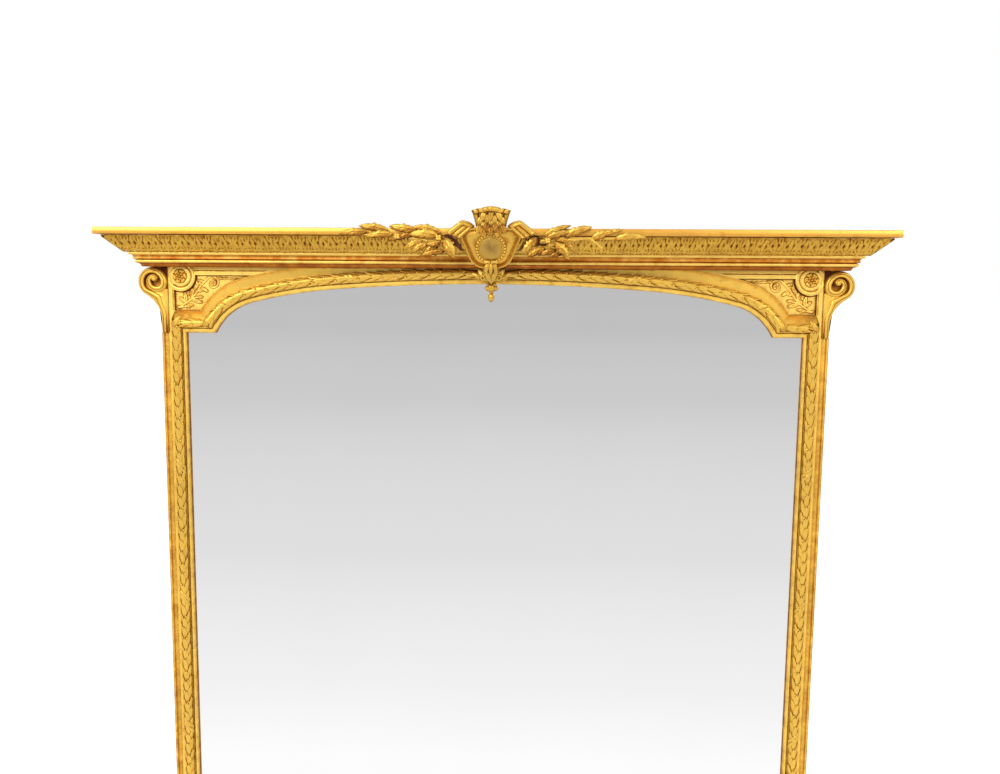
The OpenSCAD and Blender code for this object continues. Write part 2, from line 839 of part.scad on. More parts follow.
// Outline of the console's ground, a little proud of the bands
module console_outline() {
    proud = 0.6;
    turn_point = tail_c + (tail_r + proud) * turn(-tail_angle);
    translate([0, shoulder_z]) intersection() {
        translate([console_x, 0]) square([overlap, cornice_z - seat_gap]);
        union() {
            translate(volute_c(0)) circle(volute_radii[0] + proud);
            translate([console_x, volute_z]) square([volute_c(0)[0] - console_x, overlap]);
            intersection() {
                translate(tail_c) circle(tail_r + proud, $fn = 180);
                translate([console_x, turn_point[1]]) square([overlap, volute_z - turn_point[1]]);
            }
            difference() {
                translate([console_x, 0]) square([turn_point[0] - console_x, turn_point[1]]);
                translate(hollow_c) circle(console_hollow_r - proud, $fn = 180);
                translate([hollow_c[0] - console_hollow_r + proud, -eps])
                    square([overlap, hollow_c[1] + eps]);
            }
        }
    }
}

module right_console() {
    eye_c = volute_c(last_turn);
    color("goldenrod") {
        difference() {
            plate(0, field_y) console_outline();
            // the stile that it stands against
            translate([half_w, -carcass_t, shoulder_z - eps])
                cube([body_x - half_w, carcass_t + eps, cornice_z]);
        }
        // the spiral, from the right side inwards
        for (i = [0 : last_turn])
            scroll_run(volute_c(i), 90 * i, 90 * (i + 1)) band_section(volute_radii[i]);
        // the eye
        translate([eye_c[0], 1 - field_y, shoulder_z + eye_c[1]]) rotate([90, 0, 0])
            cylinder(h = sunk_t + 4, r = eye_r);
        // the tail of the band, down to the edge of the side moulding
        scroll_run(tail_c, -tail_angle, 0) band_section(tail_r);
        scroll_run(hollow_c, 180 - tail_angle, 180) band_section(console_hollow_r + band_w);
        translate([hollow_c[0], 0, shoulder_z]) rotate([0, 0, 180])
            linear_extrude(hollow_c[1]) band_section(console_hollow_r + band_w);
    }
}

module left_console() {
    mirror([1, 0, 0]) right_console();
}

// ---- cornice ----

// Plan of the front stick between its two mitres
module front_plan() {
    polygon([[-body_x, -face_y], [body_x, -face_y], [body_x + overlap, -face_y - overlap],
        [-body_x - overlap, -face_y - overlap]]);
}

// Plan of the right return, from the back to its mitre
module return_plan() {
    polygon([[body_x, 0], [body_x, -face_y], [body_x + overlap, -face_y - overlap],
        [body_x + overlap, 0]]);
}

// A section drawn as projection and height, run along the front between the mitres
module front_run() {
    intersection() {
        translate([0, -face_y, shoulder_z]) rotate([90, 0, -90])
            linear_extrude(2 * (body_x + overlap), center = true) children();
        linear_extrude(shoulder_z + 2 * overlap) front_plan();
    }
}

// The same section run along the right return
module return_run() {
    intersection() {
        translate([body_x, 0, shoulder_z]) rotate([90, 0, 0])
            linear_extrude(face_y + cap_out + 10) children();
        linear_extrude(shoulder_z + 2 * overlap) return_plan();
    }
}

// Bed moulding: deep cove, bead, hollow and fillet
module bed_section(back) {
    z1 = cornice_z + bed_cove_h;
    z2 = z1 + bed_bead_h;
    z3 = z2 + bed_hollow_h;
    cove_in = bead_out - bed_bead_h / 2 - bed_cove_h;
    difference() {
        union() {
            translate([back, cornice_z]) square([cove_in + bed_cove_h - back, bed_z1 - cornice_z]);
            translate([cove_in, z2]) square([bed_out - cove_in, bed_z1 - z2]);
        }
        // deep cove under the bead
        translate([cove_in + bed_cove_h, cornice_z]) circle(bed_cove_h - 0.5);
        // hollow between bead and fillet
        translate([bed_out - 1, z2 + bed_hollow_h / 2]) circle(bed_hollow_h / 2 + 1.5);
        translate([bed_out - 1, z2 - 1]) square([bed_hollow_h, bed_hollow_h + 1]);
    }
    translate([bead_out - bed_bead_h / 2, (z1 + z2) / 2]) circle(bed_bead_h / 2);
}

// Leaf moulding: a sloping board with a quirk in shadow under the cap
module leaf_section() {
    back = 12;
    difference() {
        polygon([[leaf_low - back, bed_z1], [leaf_low, bed_z1], [leaf_high, cap_z0],
            [leaf_high - 20, cap_z0], [leaf_low - back, bed_z1 + 8]]);
        translate([leaf_high - 3, cap_z0 - 2]) square(overlap);
    }
}

module cap_section() {
    translate([cap_out - cap_depth, cap_z0]) square([cap_depth, cap_h]);
}

module bed_moulding() {
    color("goldenrod") front_run() bed_section(0);
}

module leaf_moulding() {
    slope = atan2(leaf_h, leaf_high - leaf_low);
    length = leaf_h / sin(slope);
    sunk = 0.6;
    count = floor(2 * (body_x + leaf_low - 20) / leaf_pitch);
    color("darkgoldenrod") {
        front_run() leaf_section();
        // midribs of the carved leaves, lying on the slope
        for (i = [0 : count])
            translate([(i - count / 2) * leaf_pitch, -face_y - leaf_low, shoulder_z + bed_z1])
                rotate([90 - slope, 0, 0]) translate([0, sunk, 3])
                    cylinder(h = length - 8, d = leaf_rib_d, $fn = 16);
    }
}

module cornice_cap() {
    color("gold") front_run() cap_section();
}

module right_cornice_return() {
    color("goldenrod") return_run() {
        bed_section(0);
        leaf_section();
        cap_section();
    }
}

module left_cornice_return() {
    mirror([1, 0, 0]) right_cornice_return();
}

// Board behind the cornice sticks, standing on the head rail's face
module cornice_ground() {
    color("peru") translate([-body_x, -face_y, shoulder_z + cornice_z])
        cube([2 * body_x, face_h, ground_z1 - cornice_z]);
}

module top_board() {
    edge = cap_out - cap_depth;
    color("burlywood") translate([-body_x - edge, -face_y - edge, shoulder_z + ground_z1])
        cube([2 * (body_x + edge), face_y + edge, top_board_t]);
}

// ---- crest ----

// The cartouche's own frame: x across, y up the leaning face, z out of it, at the shield's centre
module on_shield() {
    translate([0, -shield_y, shoulder_z + shield_z]) rotate([90 + shield_lean, 0, 0]) children();
}

// Shield with a raised rim, a wide top and a round lower outline, and the block that fits it
// over the cornice
module cartouche() {
    neck = 20;
    rim = 8;
    bed_y = face_y + bed_out + seat_gap;
    color("goldenrod") {
        on_shield() translate([0, 0, -shield_t]) difference() {
            linear_extrude(shield_t) shield_outline(0);
            translate([0, 0, shield_t - 5]) linear_extrude(10) shield_outline(rim);
        }
        intersection() {
            // block behind the shield, cut to the cornice's section
            rotate([90, 0, -90]) linear_extrude(90, center = true) translate([0, shoulder_z])
                polygon([[cap_y + seat_gap, cap_z1 - 2], [cap_y + seat_gap, cap_z0 - 0.5],
                    [face_y + leaf_high + 5, cap_z0 - 2.5], [face_y + leaf_low + 4, bed_z1 - 1],
                    [bed_y, bed_z1 - 1], [bed_y, cornice_z + 14], [shield_y - 34, cornice_z + 8],
                    [shield_y + 2 - neck, shield_z - 52], [shield_y - 3, cap_z1 - 2]]);
            on_shield() translate([0, 0, 1 - shield_t - overlap]) linear_extrude(overlap)
                shield_outline(6);
        }
    }
}

// Round below, with upper corners cut back for the scroll ears
module shield_outline(inset) {
    top = 18 - inset;
    intersection() {
        circle(shield_r - inset);
        polygon([[-shield_r, -shield_r], [shield_r, -shield_r], [shield_r - 2 - inset, -5],
            [shield_r - 16 - inset, top], [16 + inset - shield_r, top], [2 + inset - shield_r, -5]]);
    }
}

module cartouche_disc() {
    color("khaki") on_shield() translate([0, -24, -5]) difference() {
        cylinder(h = 8, r = disc_r);
        translate([0, 0, 62]) sphere(58, $fn = 180);
    }
}

module bead_ring() {
    ring_r = disc_r + bead_r + 2.6;
    color("khaki") on_shield() translate([0, -24, -5]) {
        difference() {
            cylinder(h = 4, r = ring_r + bead_r - 0.5);
            translate([0, 0, -1]) cylinder(h = 6, r = disc_r + seat_gap);
        }
        for (i = [0 : bead_count - 1]) rotate(360 / bead_count * i)
            translate([ring_r, 0, 4]) sphere(bead_r, $fn = 24);
    }
}

// Palmette: a fan of round flutes that curl over at their tops, on a flared back
module palmette() {
    fan = 5.5;
    mid = (lobe_count - 1) / 2;
    neck_w = 66;
    flute_r = 4.3;
    back_t = 8;
    back = cap_y + seat_gap;
    color("khaki") translate([0, 0, shoulder_z + cap_z1 - 1.4]) {
        plate(back, back + back_t) {
            polygon([[-neck_w / 2, 0], [neck_w / 2, 0], [palmette_r - 6, palmette_h - 8],
                [6 - palmette_r, palmette_h - 8]]);
            for (i = [0 : lobe_count - 1])
                rotate((mid - i) * fan) translate([(i - mid) * 8.6, palmette_h - 8 - abs(i - mid)])
                    circle(6.5);
        }
        for (i = [0 : lobe_count - 1])
            translate([0, -back - back_t, 0]) rotate([0, (i - mid) * fan, 0])
                translate([(i - mid) * 8.7, 0, 1 + 2.8 * abs(i - mid)]) {
                    cylinder(h = palmette_h - 12 - 3.5 * abs(i - mid), r = flute_r);
                    translate([0, -1, palmette_h - 11 - 3.5 * abs(i - mid)]) sphere(flute_r + 1.5, $fn = 48);
                }
    }
}

// Folded scroll at the shield's shoulder: a roll with two flutes round it
module right_scroll_ear() {
    middle = [shield_r + 13, -cap_y - roll_r - seat_gap, shoulder_z + shield_z + 17];
    color("goldenrod") translate(middle) rotate([0, 118, 0]) {
        cylinder(h = roll_len, r = roll_r - 3, center = true);
        for (k = [-1, 1]) translate([0, 0, k * (roll_len / 2 - 2)])
            rotate_extrude() translate([roll_r - 3, 0]) circle(2.5, $fn = 32);
        for (a = [20, 110, 200, 290]) rotate(a) translate([roll_r - 5, 0, 0])
            cylinder(h = roll_len - 6, r = 5, center = true);
    }
}

module left_scroll_ear() {
    mirror([1, 0, 0]) right_scroll_ear();
}

// A laurel leaf bowed over its length, with a midrib, its stalk end at the origin and its tip up
module laurel_leaf(length, width) {
    bow_r = 1.6 * length;
    intersection() {
        rotate([90, 0, 0]) translate([0, 0, -10]) linear_extrude(40) leaf_outline(length, width);
        translate([0, bow_r - 9, length / 2]) rotate([0, 90, 0]) difference() {
            cylinder(h = width + 2, r = bow_r, center = true, $fn = 180);
            cylinder(h = width + 4, r = bow_r - leaf_t, center = true, $fn = 180);
        }
    }
}

// A laurel spray over the cornice: leaves as [x, z, angle from up, length, width, height in front
// of the cap's face], and berries as [x, z, height]
module spray(leaves, berries) {
    for (k = leaves)
        translate([k[0], -cap_y - k[5], shoulder_z + k[1]]) rotate([0, k[2], 0])
            laurel_leaf(k[3], k[4]);
    for (b = berries)
        translate([b[0], -cap_y - b[2], shoulder_z + b[1]]) sphere(berry_r, $fn = 48);
}

module right_laurel_spray() {
    color("khaki") {
        spray([[104, 214, 62, 76, 20, 4], [158, 226, 68, 70, 19, 2], [170, 224, 96, 80, 21, 5],
            [224, 226, 78, 70, 22, 3], [262, 218, 86, 80, 18, 1], [140, 219, 146, 54, 20, 3],
            [104, 217, 200, 48, 18, 2]], [[124, 218, 7], [152, 211, 5]]);
        // twig that joins the leaves
        translate([72, -cap_y - 3, shoulder_z + 214]) rotate([0, 87, 0])
            cylinder(h = 240, r1 = 4, r2 = 2.5);
    }
}

module left_laurel_spray() {
    color("khaki") {
        spray([[-112, 212, -62, 76, 20, 4], [-112, 226, -78, 114, 24, 2], [-214, 228, -78, 84, 22, 3],
            [-216, 222, -100, 74, 20, 5], [-268, 222, -84, 74, 18, 1], [-112, 212, -98, 74, 20, 5],
            [-140, 216, -132, 58, 20, 3], [-76, 211, -130, 54, 20, 3]],
            [[-208, 224, 6], [-116, 222, 6]]);
        // twig that joins the leaves
        translate([-72, -cap_y - 3, shoulder_z + 212]) rotate([0, -87, 0])
            cylinder(h = 240, r1 = 4, r2 = 2.5);
    }
}

// Husk: the leafy stem that runs from under the shield back over the arch
module pendant_husk() {
    seat = garland_y + head_garland_r + seat_gap;
    low = arch_rise + 14.3;
    color("khaki") {
        rotate([90, 0, -90]) linear_extrude(14, center = true) translate([0, shoulder_z])
            polygon([[seat, low], [seat + 14, low], [shield_y - 22, cornice_z - 10],
                [shield_y - 22, cornice_z - 2.6], [shield_y - 32, cornice_z + 0.6],
                [shield_y - 36, cornice_z - 0.4], [seat, cornice_z - 4]]);
        for (k = [-1, 1]) translate([k * 4, -seat - 4, shoulder_z + low + 1])
            rotate([0, k * 46, 0]) laurel_leaf(27, 13);
    }
}

// Drop: berries on a stalk, hanging over the glass
module pendant_drop() {
    seat = garland_y + head_garland_r + seat_gap;
    color("khaki") translate([0, -seat - 7, shoulder_z + arch_rise]) {
        translate([0, 0, 7]) sphere(7);
        for (k = [-1, 1]) translate([k * 6.6, 0, -4]) sphere(6);
        translate([0, -0.6, -14]) sphere(6.5);
        translate([0, 0, -31]) sphere(6);
        translate([0, 0, -31]) cylinder(h = 38, r = 3.6);
    }
}

// ---- glass and back ----

module mirror_plate() {
    front = carcass_t - glass_gap;
    color("lightsteelblue") plate(front - glass_t, front) opening(glass_lap);
}

// Blocks glued round the rebate behind the plate
module glazing_blocks() {
    block = [60, 12, 11];
    back = carcass_t - glass_gap - glass_t - seat_gap;
    rows = 4;
    color("burlywood") {
        for (side = [0, 1], i = [0 : rows - 1]) mirror([side, 0, 0])
            translate([half_w + rebate_w - block[1], -back, rail_h + (i + 0.5) * sight_h / rows])
                cube([block[1], block[2], block[0]]);
        for (i = [0 : rows - 1])
            translate([-half_w + (i + 0.5) * sight_w / rows - block[0] / 2, -back, rail_h - rebate_w])
                cube([block[0], block[2], block[1]]);
    }
}

// One screw, its head flush with the outside at z = 0 and its point towards +z
module screw(length) {
    cylinder(h = head_r - screw_r, r1 = head_r, r2 = screw_r, $fn = 32);
    cylinder(h = length, r = screw_r, $fn = 32);
}

module at_board_screws() {
    inset = back_rebate_w / 2;
    for (i = [0 : board_count - 1], k = [-1, 1], z = [board_z0 + inset, board_z1 - inset])
        translate([board_x(i) + board_w / 2 + k * board_w / 3, board_t - back_rebate_t, z])
            rotate([90, 0, 0]) children();
}

module board_screw_holes() {
    at_board_screws() screw(screw_len);
}

module backboard(i) {
    color("sienna") difference() {
        translate([board_x(i), -back_rebate_t, board_z0]) cube([board_w, board_t, board_z1 - board_z0]);
        board_screw_holes();
    }
}

module backboard_screws() {
    color("silver") at_board_screws() screw(screw_len);
}

// ---- hangers ----

module at_strap_screws() {
    for (z = strap_screws)
        translate([hanger_x, strap_t, pivot_z + z]) rotate([90, 0, 0]) children();
}

module hanger_screw_holes() {
    at_strap_screws() screw(screw_len);
}

// Strap folded round the ring's bar and screwed to the stile
module right_hanger_strap() {
    color("silver") difference() {
        union() {
            translate([hanger_x, knuckle_r, pivot_z]) rotate([0, 90, 0])
                cylinder(h = strap_w, r = knuckle_r, center = true);
            translate([hanger_x - strap_w / 2, 0, pivot_z]) cube([strap_w, strap_t, strap_len]);
        }
        translate([hanger_x, knuckle_r, pivot_z]) rotate([0, 90, 0])
            cylinder(h = strap_w + 2, r = wire_r + bar_gap, center = true);
        hanger_screw_holes();
    }
}

module left_hanger_strap() {
    mirror([1, 0, 0]) right_hanger_strap();
}

// D-ring: a straight bar in the knuckle and a round bow hanging from it
module right_hanger_ring() {
    color("silver") translate([hanger_x, knuckle_r, pivot_z]) {
        rotate([0, 90, 0]) cylinder(h = 2 * bow_r, r = wire_r, center = true);
        rotate([90, 0, 0]) rotate([0, 0, 180]) rotate_extrude(angle = 180) translate([bow_r, 0])
            circle(wire_r);
        for (k = [-1, 1]) translate([k * bow_r, 0, 0]) sphere(wire_r);
    }
}

module left_hanger_ring() {
    mirror([1, 0, 0]) right_hanger_ring();
}

module hanger_screws() {
    color("silver") for (side = [0, 1]) mirror([side, 0, 0]) at_strap_screws() screw(screw_len);
}

left_stile();
right_stile();
head_rail();
bottom_rail();
corner_blocks();
plinth_board();
left_plinth_block();
right_plinth_block();
left_moulding();
right_moulding();
bottom_moulding();
left_shoulder_moulding();
right_shoulder_moulding();
arch_moulding();
left_garland();
right_garland();
bottom_garland();
left_shoulder_garland();
right_shoulder_garland();
arch_garland();
corner_leaves();
left_spandrel_board();
right_spandrel_board();
left_spandrel_scroll();
right_spandrel_scroll();
left_rosette();
right_rosette();
left_console();
right_console();
cornice_ground();
bed_moulding();
leaf_moulding();
cornice_cap();
left_cornice_return();
right_cornice_return();
top_board();
cartouche();
cartouche_disc();
bead_ring();
palmette();
left_scroll_ear();
right_scroll_ear();
left_laurel_spray();
right_laurel_spray();
pendant_husk();
pendant_drop();
mirror_plate();
glazing_blocks();
backboard(0);  // backboard_1
backboard(1);  // backboard_2
backboard(2);  // backboard_3
backboard(3);  // backboard_4
backboard_screws();
left_hanger_strap();
right_hanger_strap();
left_hanger_ring();
right_hanger_ring();
hanger_screws();
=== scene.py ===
import bmesh
import bpy
import numpy as np
from mathutils import Matrix


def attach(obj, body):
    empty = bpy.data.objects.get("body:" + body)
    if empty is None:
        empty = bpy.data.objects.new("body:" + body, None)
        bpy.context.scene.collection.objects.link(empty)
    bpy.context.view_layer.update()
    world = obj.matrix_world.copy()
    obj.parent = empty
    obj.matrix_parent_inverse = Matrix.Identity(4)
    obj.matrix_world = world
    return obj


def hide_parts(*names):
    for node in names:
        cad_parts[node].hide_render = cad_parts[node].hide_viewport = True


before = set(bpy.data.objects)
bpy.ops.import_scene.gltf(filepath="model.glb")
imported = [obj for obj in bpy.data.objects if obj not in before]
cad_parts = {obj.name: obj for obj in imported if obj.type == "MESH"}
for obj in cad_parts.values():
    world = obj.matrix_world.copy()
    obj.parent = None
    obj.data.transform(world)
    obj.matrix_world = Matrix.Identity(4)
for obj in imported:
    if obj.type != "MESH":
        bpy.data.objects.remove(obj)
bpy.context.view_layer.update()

# ---- Camera ----
# The photograph was taken from just right of the middle, a little above the arch and looking
# slightly down. The lens shift keeps the photograph's framing.
yaw, pitch, roll = np.radians([-2.241, 7.109, -0.397])
right = np.array([np.cos(yaw), -np.sin(yaw), 0])
ahead = np.array([np.sin(yaw), np.cos(yaw), 0])
down = np.array([0, 0, -1.0])
ahead, down = ahead * np.cos(pitch) + down * np.sin(pitch), down * np.cos(pitch) - ahead * np.sin(pitch)
right, down = right * np.cos(roll) + down * np.sin(roll), down * np.cos(roll) - right * np.sin(roll)
lens = bpy.data.cameras.new("camera")
lens.sensor_width = 36
lens.lens = 34.2
lens.shift_x = 0.028
lens.shift_y = 0.015
lens.clip_end = 200
eye = (0.0440, -2.3059, 1.5399)
camera = bpy.data.objects.new("camera", lens)
camera.matrix_world = Matrix([[right[i], -down[i], -ahead[i], eye[i]] for i in range(3)] + [[0, 0, 0, 1]])
bpy.context.scene.collection.objects.link(camera)
bpy.context.scene.camera = camera
bpy.context.scene.view_settings.view_transform = "Standard"

# ---- Floor and light ----
# A pale studio floor under a white sky. Seen in the glass, the floor is not lit but glows with a painted
# grey that deepens with distance, a painted reflection, and the glass shows that as its soft grey gradient;
# the sky in front of the glass is greyer too.
def nodes_of(owner):
    """Empties a material's or world's node tree and returns it."""
    owner.use_nodes = True
    owner.node_tree.nodes.clear()
    return owner.node_tree


def put(tree, kind, inputs=(), **settings):
    """Adds a node. inputs are (socket, value) pairs, where a value is the output that feeds the socket,
    or a number or colour; settings are the node's properties, or values of its sockets by name."""
    n = tree.nodes.new(kind)
    for key, value in settings.items():
        if hasattr(n, key):
            setattr(n, key, value)
        else:
            n.inputs[key.replace("_", " ")].default_value = value
    for socket, value in inputs:
        if isinstance(value, bpy.types.NodeSocket):
            tree.links.new(value, n.inputs[socket])
        else:
            n.inputs[socket].default_value = value
    return n


def maths(tree, operation, *values):
    """The result of a sum over numbers or outputs."""
    return put(tree, "ShaderNodeMath", enumerate(values), operation=operation).outputs[0]


def remap(tree, value, low=0.0, high=1.0, to_low=0.0, to_high=1.0):
    """Maps value evenly from low to high onto to_low to to_high, and holds it there."""
    return put(tree, "ShaderNodeMapRange", [("Value", value)], From_Min=low, From_Max=high, To_Min=to_low,
               To_Max=to_high).outputs[0]


def ramp(tree, source, *stops):
    """Colour ramp over source with stops of (position, colour or grey)."""
    n = put(tree, "ShaderNodeValToRGB", [("Fac", source)])
    for k, (at, tone) in enumerate(stops):
        e = n.color_ramp.elements[k] if k < 2 else n.color_ramp.elements.new(at)
        e.position = at
        e.color = (tone, tone, tone, 1) if isinstance(tone, (int, float)) else (*tone, 1)
    return n.outputs["Color"]


def blend(tree, share, first, second):
    """The first shader where share is 0 and the second where it is 1."""
    return put(tree, "ShaderNodeMixShader", [("Fac", share), (1, first), (2, second)]).outputs[0]


def ray_kinds(tree):
    """1 for rays straight from the camera, and 1 for rays off metal or through glass."""
    path = put(tree, "ShaderNodeLightPath")
    bounced = maths(tree, "MAXIMUM", path.outputs["Is Glossy Ray"], path.outputs["Is Transmission Ray"])
    return path.outputs["Is Camera Ray"], bounced


world = bpy.data.worlds.new("studio")
bpy.context.scene.world = world
tree = nodes_of(world)
where = put(tree, "ShaderNodeSeparateXYZ", [(0, put(tree, "ShaderNodeTexCoord").outputs["Generated"])])
room = ramp(tree, remap(tree, where.outputs["Y"], -1.0, 1.0), (0.0, 0.57), (0.5, 1.0), (0.44, 0.60))
straight, bounced = ray_kinds(tree)
plain = put(tree, "ShaderNodeBackground", Color=(0.84, 0.83, 0.82, 1), Strength=0.72)
shown = put(tree, "ShaderNodeBackground", [("Color", room)], Strength=1.0)
sky = blend(tree, maths(tree, "MAXIMUM", straight, bounced), plain.outputs[0], shown.outputs[0])
put(tree, "ShaderNodeOutputWorld", [("Surface", sky)])

floor_paint = bpy.data.materials.new("studio_floor")
tree = nodes_of(floor_paint)
where = put(tree, "ShaderNodeSeparateXYZ", [(0, put(tree, "ShaderNodeTexCoord").outputs["Object"])])
depth = remap(tree, where.outputs["Y"], -30.0, -0.7)
tone = ramp(tree, depth, (0.0, 0.54), (1.0, 1.0), (0.672, 0.615), (0.9215, 0.765), (0.9816, 0.91))
straight, bounced = ray_kinds(tree)
matt = put(tree, "ShaderNodeBsdfDiffuse", [("Color", tone)])
lift = put(tree, "ShaderNodeEmission", [("Color", tone)], Strength=0.62)
lifted = put(tree, "ShaderNodeAddShader", [(0, matt.outputs[0]), (1, lift.outputs[0])])
# rays off the glass see the floor as a glow in its graded grey, not as a lit floor: a painted reflection
glow_for_glass = put(tree, "ShaderNodeEmission", [("Color", tone)], Strength=1.075)
pick = blend(tree, straight, matt.outputs[0], lifted.outputs[0])
put(tree, "ShaderNodeOutputMaterial", [("Surface", blend(tree, bounced, pick, glow_for_glass.outputs[0]))])
sheet = bpy.data.meshes.new("floor")
far = 60
sheet.from_pydata([(-far, -far, 0), (far, -far, 0), (far, far, 0), (-far, far, 0)], [], [(0, 1, 2, 3)])
sheet.materials.append(floor_paint)
floor = bpy.data.objects.new("floor", sheet)
bpy.context.scene.collection.objects.link(floor)

for name, place, aim, power, width, tint in (
        ("key_light", (-2.0, -3.9, 3.4), (0, 0, 1.3), 128, 2.4, (1.0, 0.98, 0.95)),
        ("fill_light", (2.8, -3.8, 3.1), (0, 0, 1.2), 60, 2.4, (1.0, 0.99, 0.97))):
    lamp = bpy.data.lights.new(name, "AREA")
    lamp.shape = "SQUARE"
    lamp.size = width
    lamp.energy = power
    lamp.color = tint
    light = bpy.data.objects.new(name, lamp)
    z = np.array(place) - np.array(aim)
    z = z / np.linalg.norm(z)
    x = np.cross((0, 0, 1), z)
    x = x / np.linalg.norm(x)
    y = np.cross(z, x)
    light.matrix_world = Matrix([[x[i], y[i], z[i], place[i]] for i in range(3)] + [[0, 0, 0, 1]])
    bpy.context.scene.collection.objects.link(light)

# ---- Side and bottom mouldings ----
# Gessoed and gilded pine mouldings, mitred at the corners: a rounded sight edge with a quirk and a
# fillet, the garland's seat, a flat strip, a sunk hollow and an outer bead.
half_w = 733.0  # from the middle to the sight edge, in mm as all that follows
rail_z = 90.0  # the lower sight edge
shoulder_z = 1418.0  # the sight edge under the shoulders
side_w = 56.0  # width of the side and bottom mouldings
side_u = 31.0  # width of the sight edge and seat on the sides
head_u = 35.0  # and on the head
strip_x = half_w + side_u


def shells(rows, hollow=0.0, ends=True):
    """Closed skins. rows[..., i, j] is point j of cross-section i in mm, each section a closed loop;
    leading axes are copies. Quads join neighbouring sections, and a polygon closes each end."""
    rows = np.asarray(rows, float)
    # the per-point values are painted shade for the gilt finish
    shade = np.broadcast_to(hollow, rows.shape[:-1]).reshape(-1)
    rows = rows.reshape(-1, *rows.shape[-3:])
    copies, n, m = rows.shape[:3]
    i, j = np.meshgrid(np.arange(n - 1), np.arange(m), indexing="ij")
    k = (j + 1) % m
    quads = np.stack([i * m + j, i * m + k, (i + 1) * m + k, (i + 1) * m + j], -1).reshape(-1, 4)
    quads = (quads[None] + np.arange(copies)[:, None, None] * n * m).reshape(-1, 4)
    caps = []
    if ends:
        loop = np.arange(m)
        caps = [part for c in range(copies) for part in
                (loop[::-1] + c * n * m, loop + (c * n + n - 1) * m)]
    return rows.reshape(-1, 3), quads, caps, shade


def carve(name, parts, replaced, finish, crease=38):
    """Puts skins into one mesh in metres, merges their seams, turns them outwards and smooths them up
    to the crease angle. The attribute hollow holds painted shade: 1 in the depths of the carving and 0 on
    its crests."""
    points = np.concatenate([p[0] for p in parts]) / 1000
    shade = np.concatenate([p[3] for p in parts])
    start = np.cumsum([0] + [len(p[0]) for p in parts])
    quads = np.concatenate([p[1] + s for p, s in zip(parts, start)])
    caps = [c + s for p, s in zip(parts, start) for c in p[2]]
    corners = np.concatenate([quads.reshape(-1)] + caps)
    sizes = np.array([4] * len(quads) + [len(c) for c in caps])
    mesh = bpy.data.meshes.new(name)
    mesh.vertices.add(len(points))
    mesh.vertices.foreach_set("co", points.reshape(-1).astype(np.float32))
    mesh.loops.add(len(corners))
    mesh.loops.foreach_set("vertex_index", corners.astype(np.int32))
    mesh.polygons.add(len(sizes))
    mesh.polygons.foreach_set("loop_start", (np.cumsum(sizes) - sizes).astype(np.int32))
    mesh.update(calc_edges=True)
    mesh.attributes.new("hollow", "FLOAT", "POINT").data.foreach_set("value", shade.astype(np.float32))
    b = bmesh.new()
    b.from_mesh(mesh)
    bmesh.ops.remove_doubles(b, verts=b.verts, dist=2e-6)
    bmesh.ops.dissolve_degenerate(b, edges=b.edges, dist=1e-7)
    bmesh.ops.recalc_face_normals(b, faces=b.faces)
    b.to_mesh(mesh)
    b.free()
    mesh.polygons.foreach_set("use_smooth", np.ones(len(mesh.polygons), bool))
    mesh.set_sharp_from_angle(angle=np.radians(crease))
    mesh.materials.append(finish)
    piece = bpy.data.objects.new(name, mesh)
    bpy.context.scene.collection.objects.link(piece)
    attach(piece, "frame")
    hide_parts(*replaced)


def mirrored(part):
    """The same skins on the left side."""
    return part[0] * np.array([-1, 1, 1]), *part[1:]


def both_sides(name, parts, replaced, finish, crease=38):
    """Carves the right side's piece, and its mirror image as the left side's."""
    for side in ("right", "left"):
        carve(f"{side}_{name}", parts, [f"{side}_{node}" for node in replaced], finish, crease)
        parts = [mirrored(p) for p in parts]


def noise(tree, at, scale, detail, **settings):
    """The grey of a cloudy pattern over the places at."""
    return put(tree, "ShaderNodeTexNoise", [("Vector", at)], Scale=scale, Detail=detail,
               **settings).outputs["Fac"]


def mixed(tree, share, first, second, way="MIX"):
    """Colour that goes from the first to the second with share."""
    return put(tree, "ShaderNodeMix", [(0, share), (6, first), (7, second)], data_type="RGBA",
               blend_type=way).outputs[2]


def surface(tree, colour, rough, metal, height=None, strength=0.0, deep=0.0006):
    """Ends a material: a coat of the given colour, roughness and metal, bumped by height."""
    inputs = [("Base Color", colour), ("Roughness", rough), ("Metallic", metal)]
    if height is not None:
        b = put(tree, "ShaderNodeBump", [("Height", height)], Strength=strength, Distance=deep)
        inputs.append(("Normal", b.outputs[0]))
    coat = put(tree, "ShaderNodeBsdfPrincipled", inputs)
    put(tree, "ShaderNodeOutputMaterial", [("Surface", coat.outputs[0])])


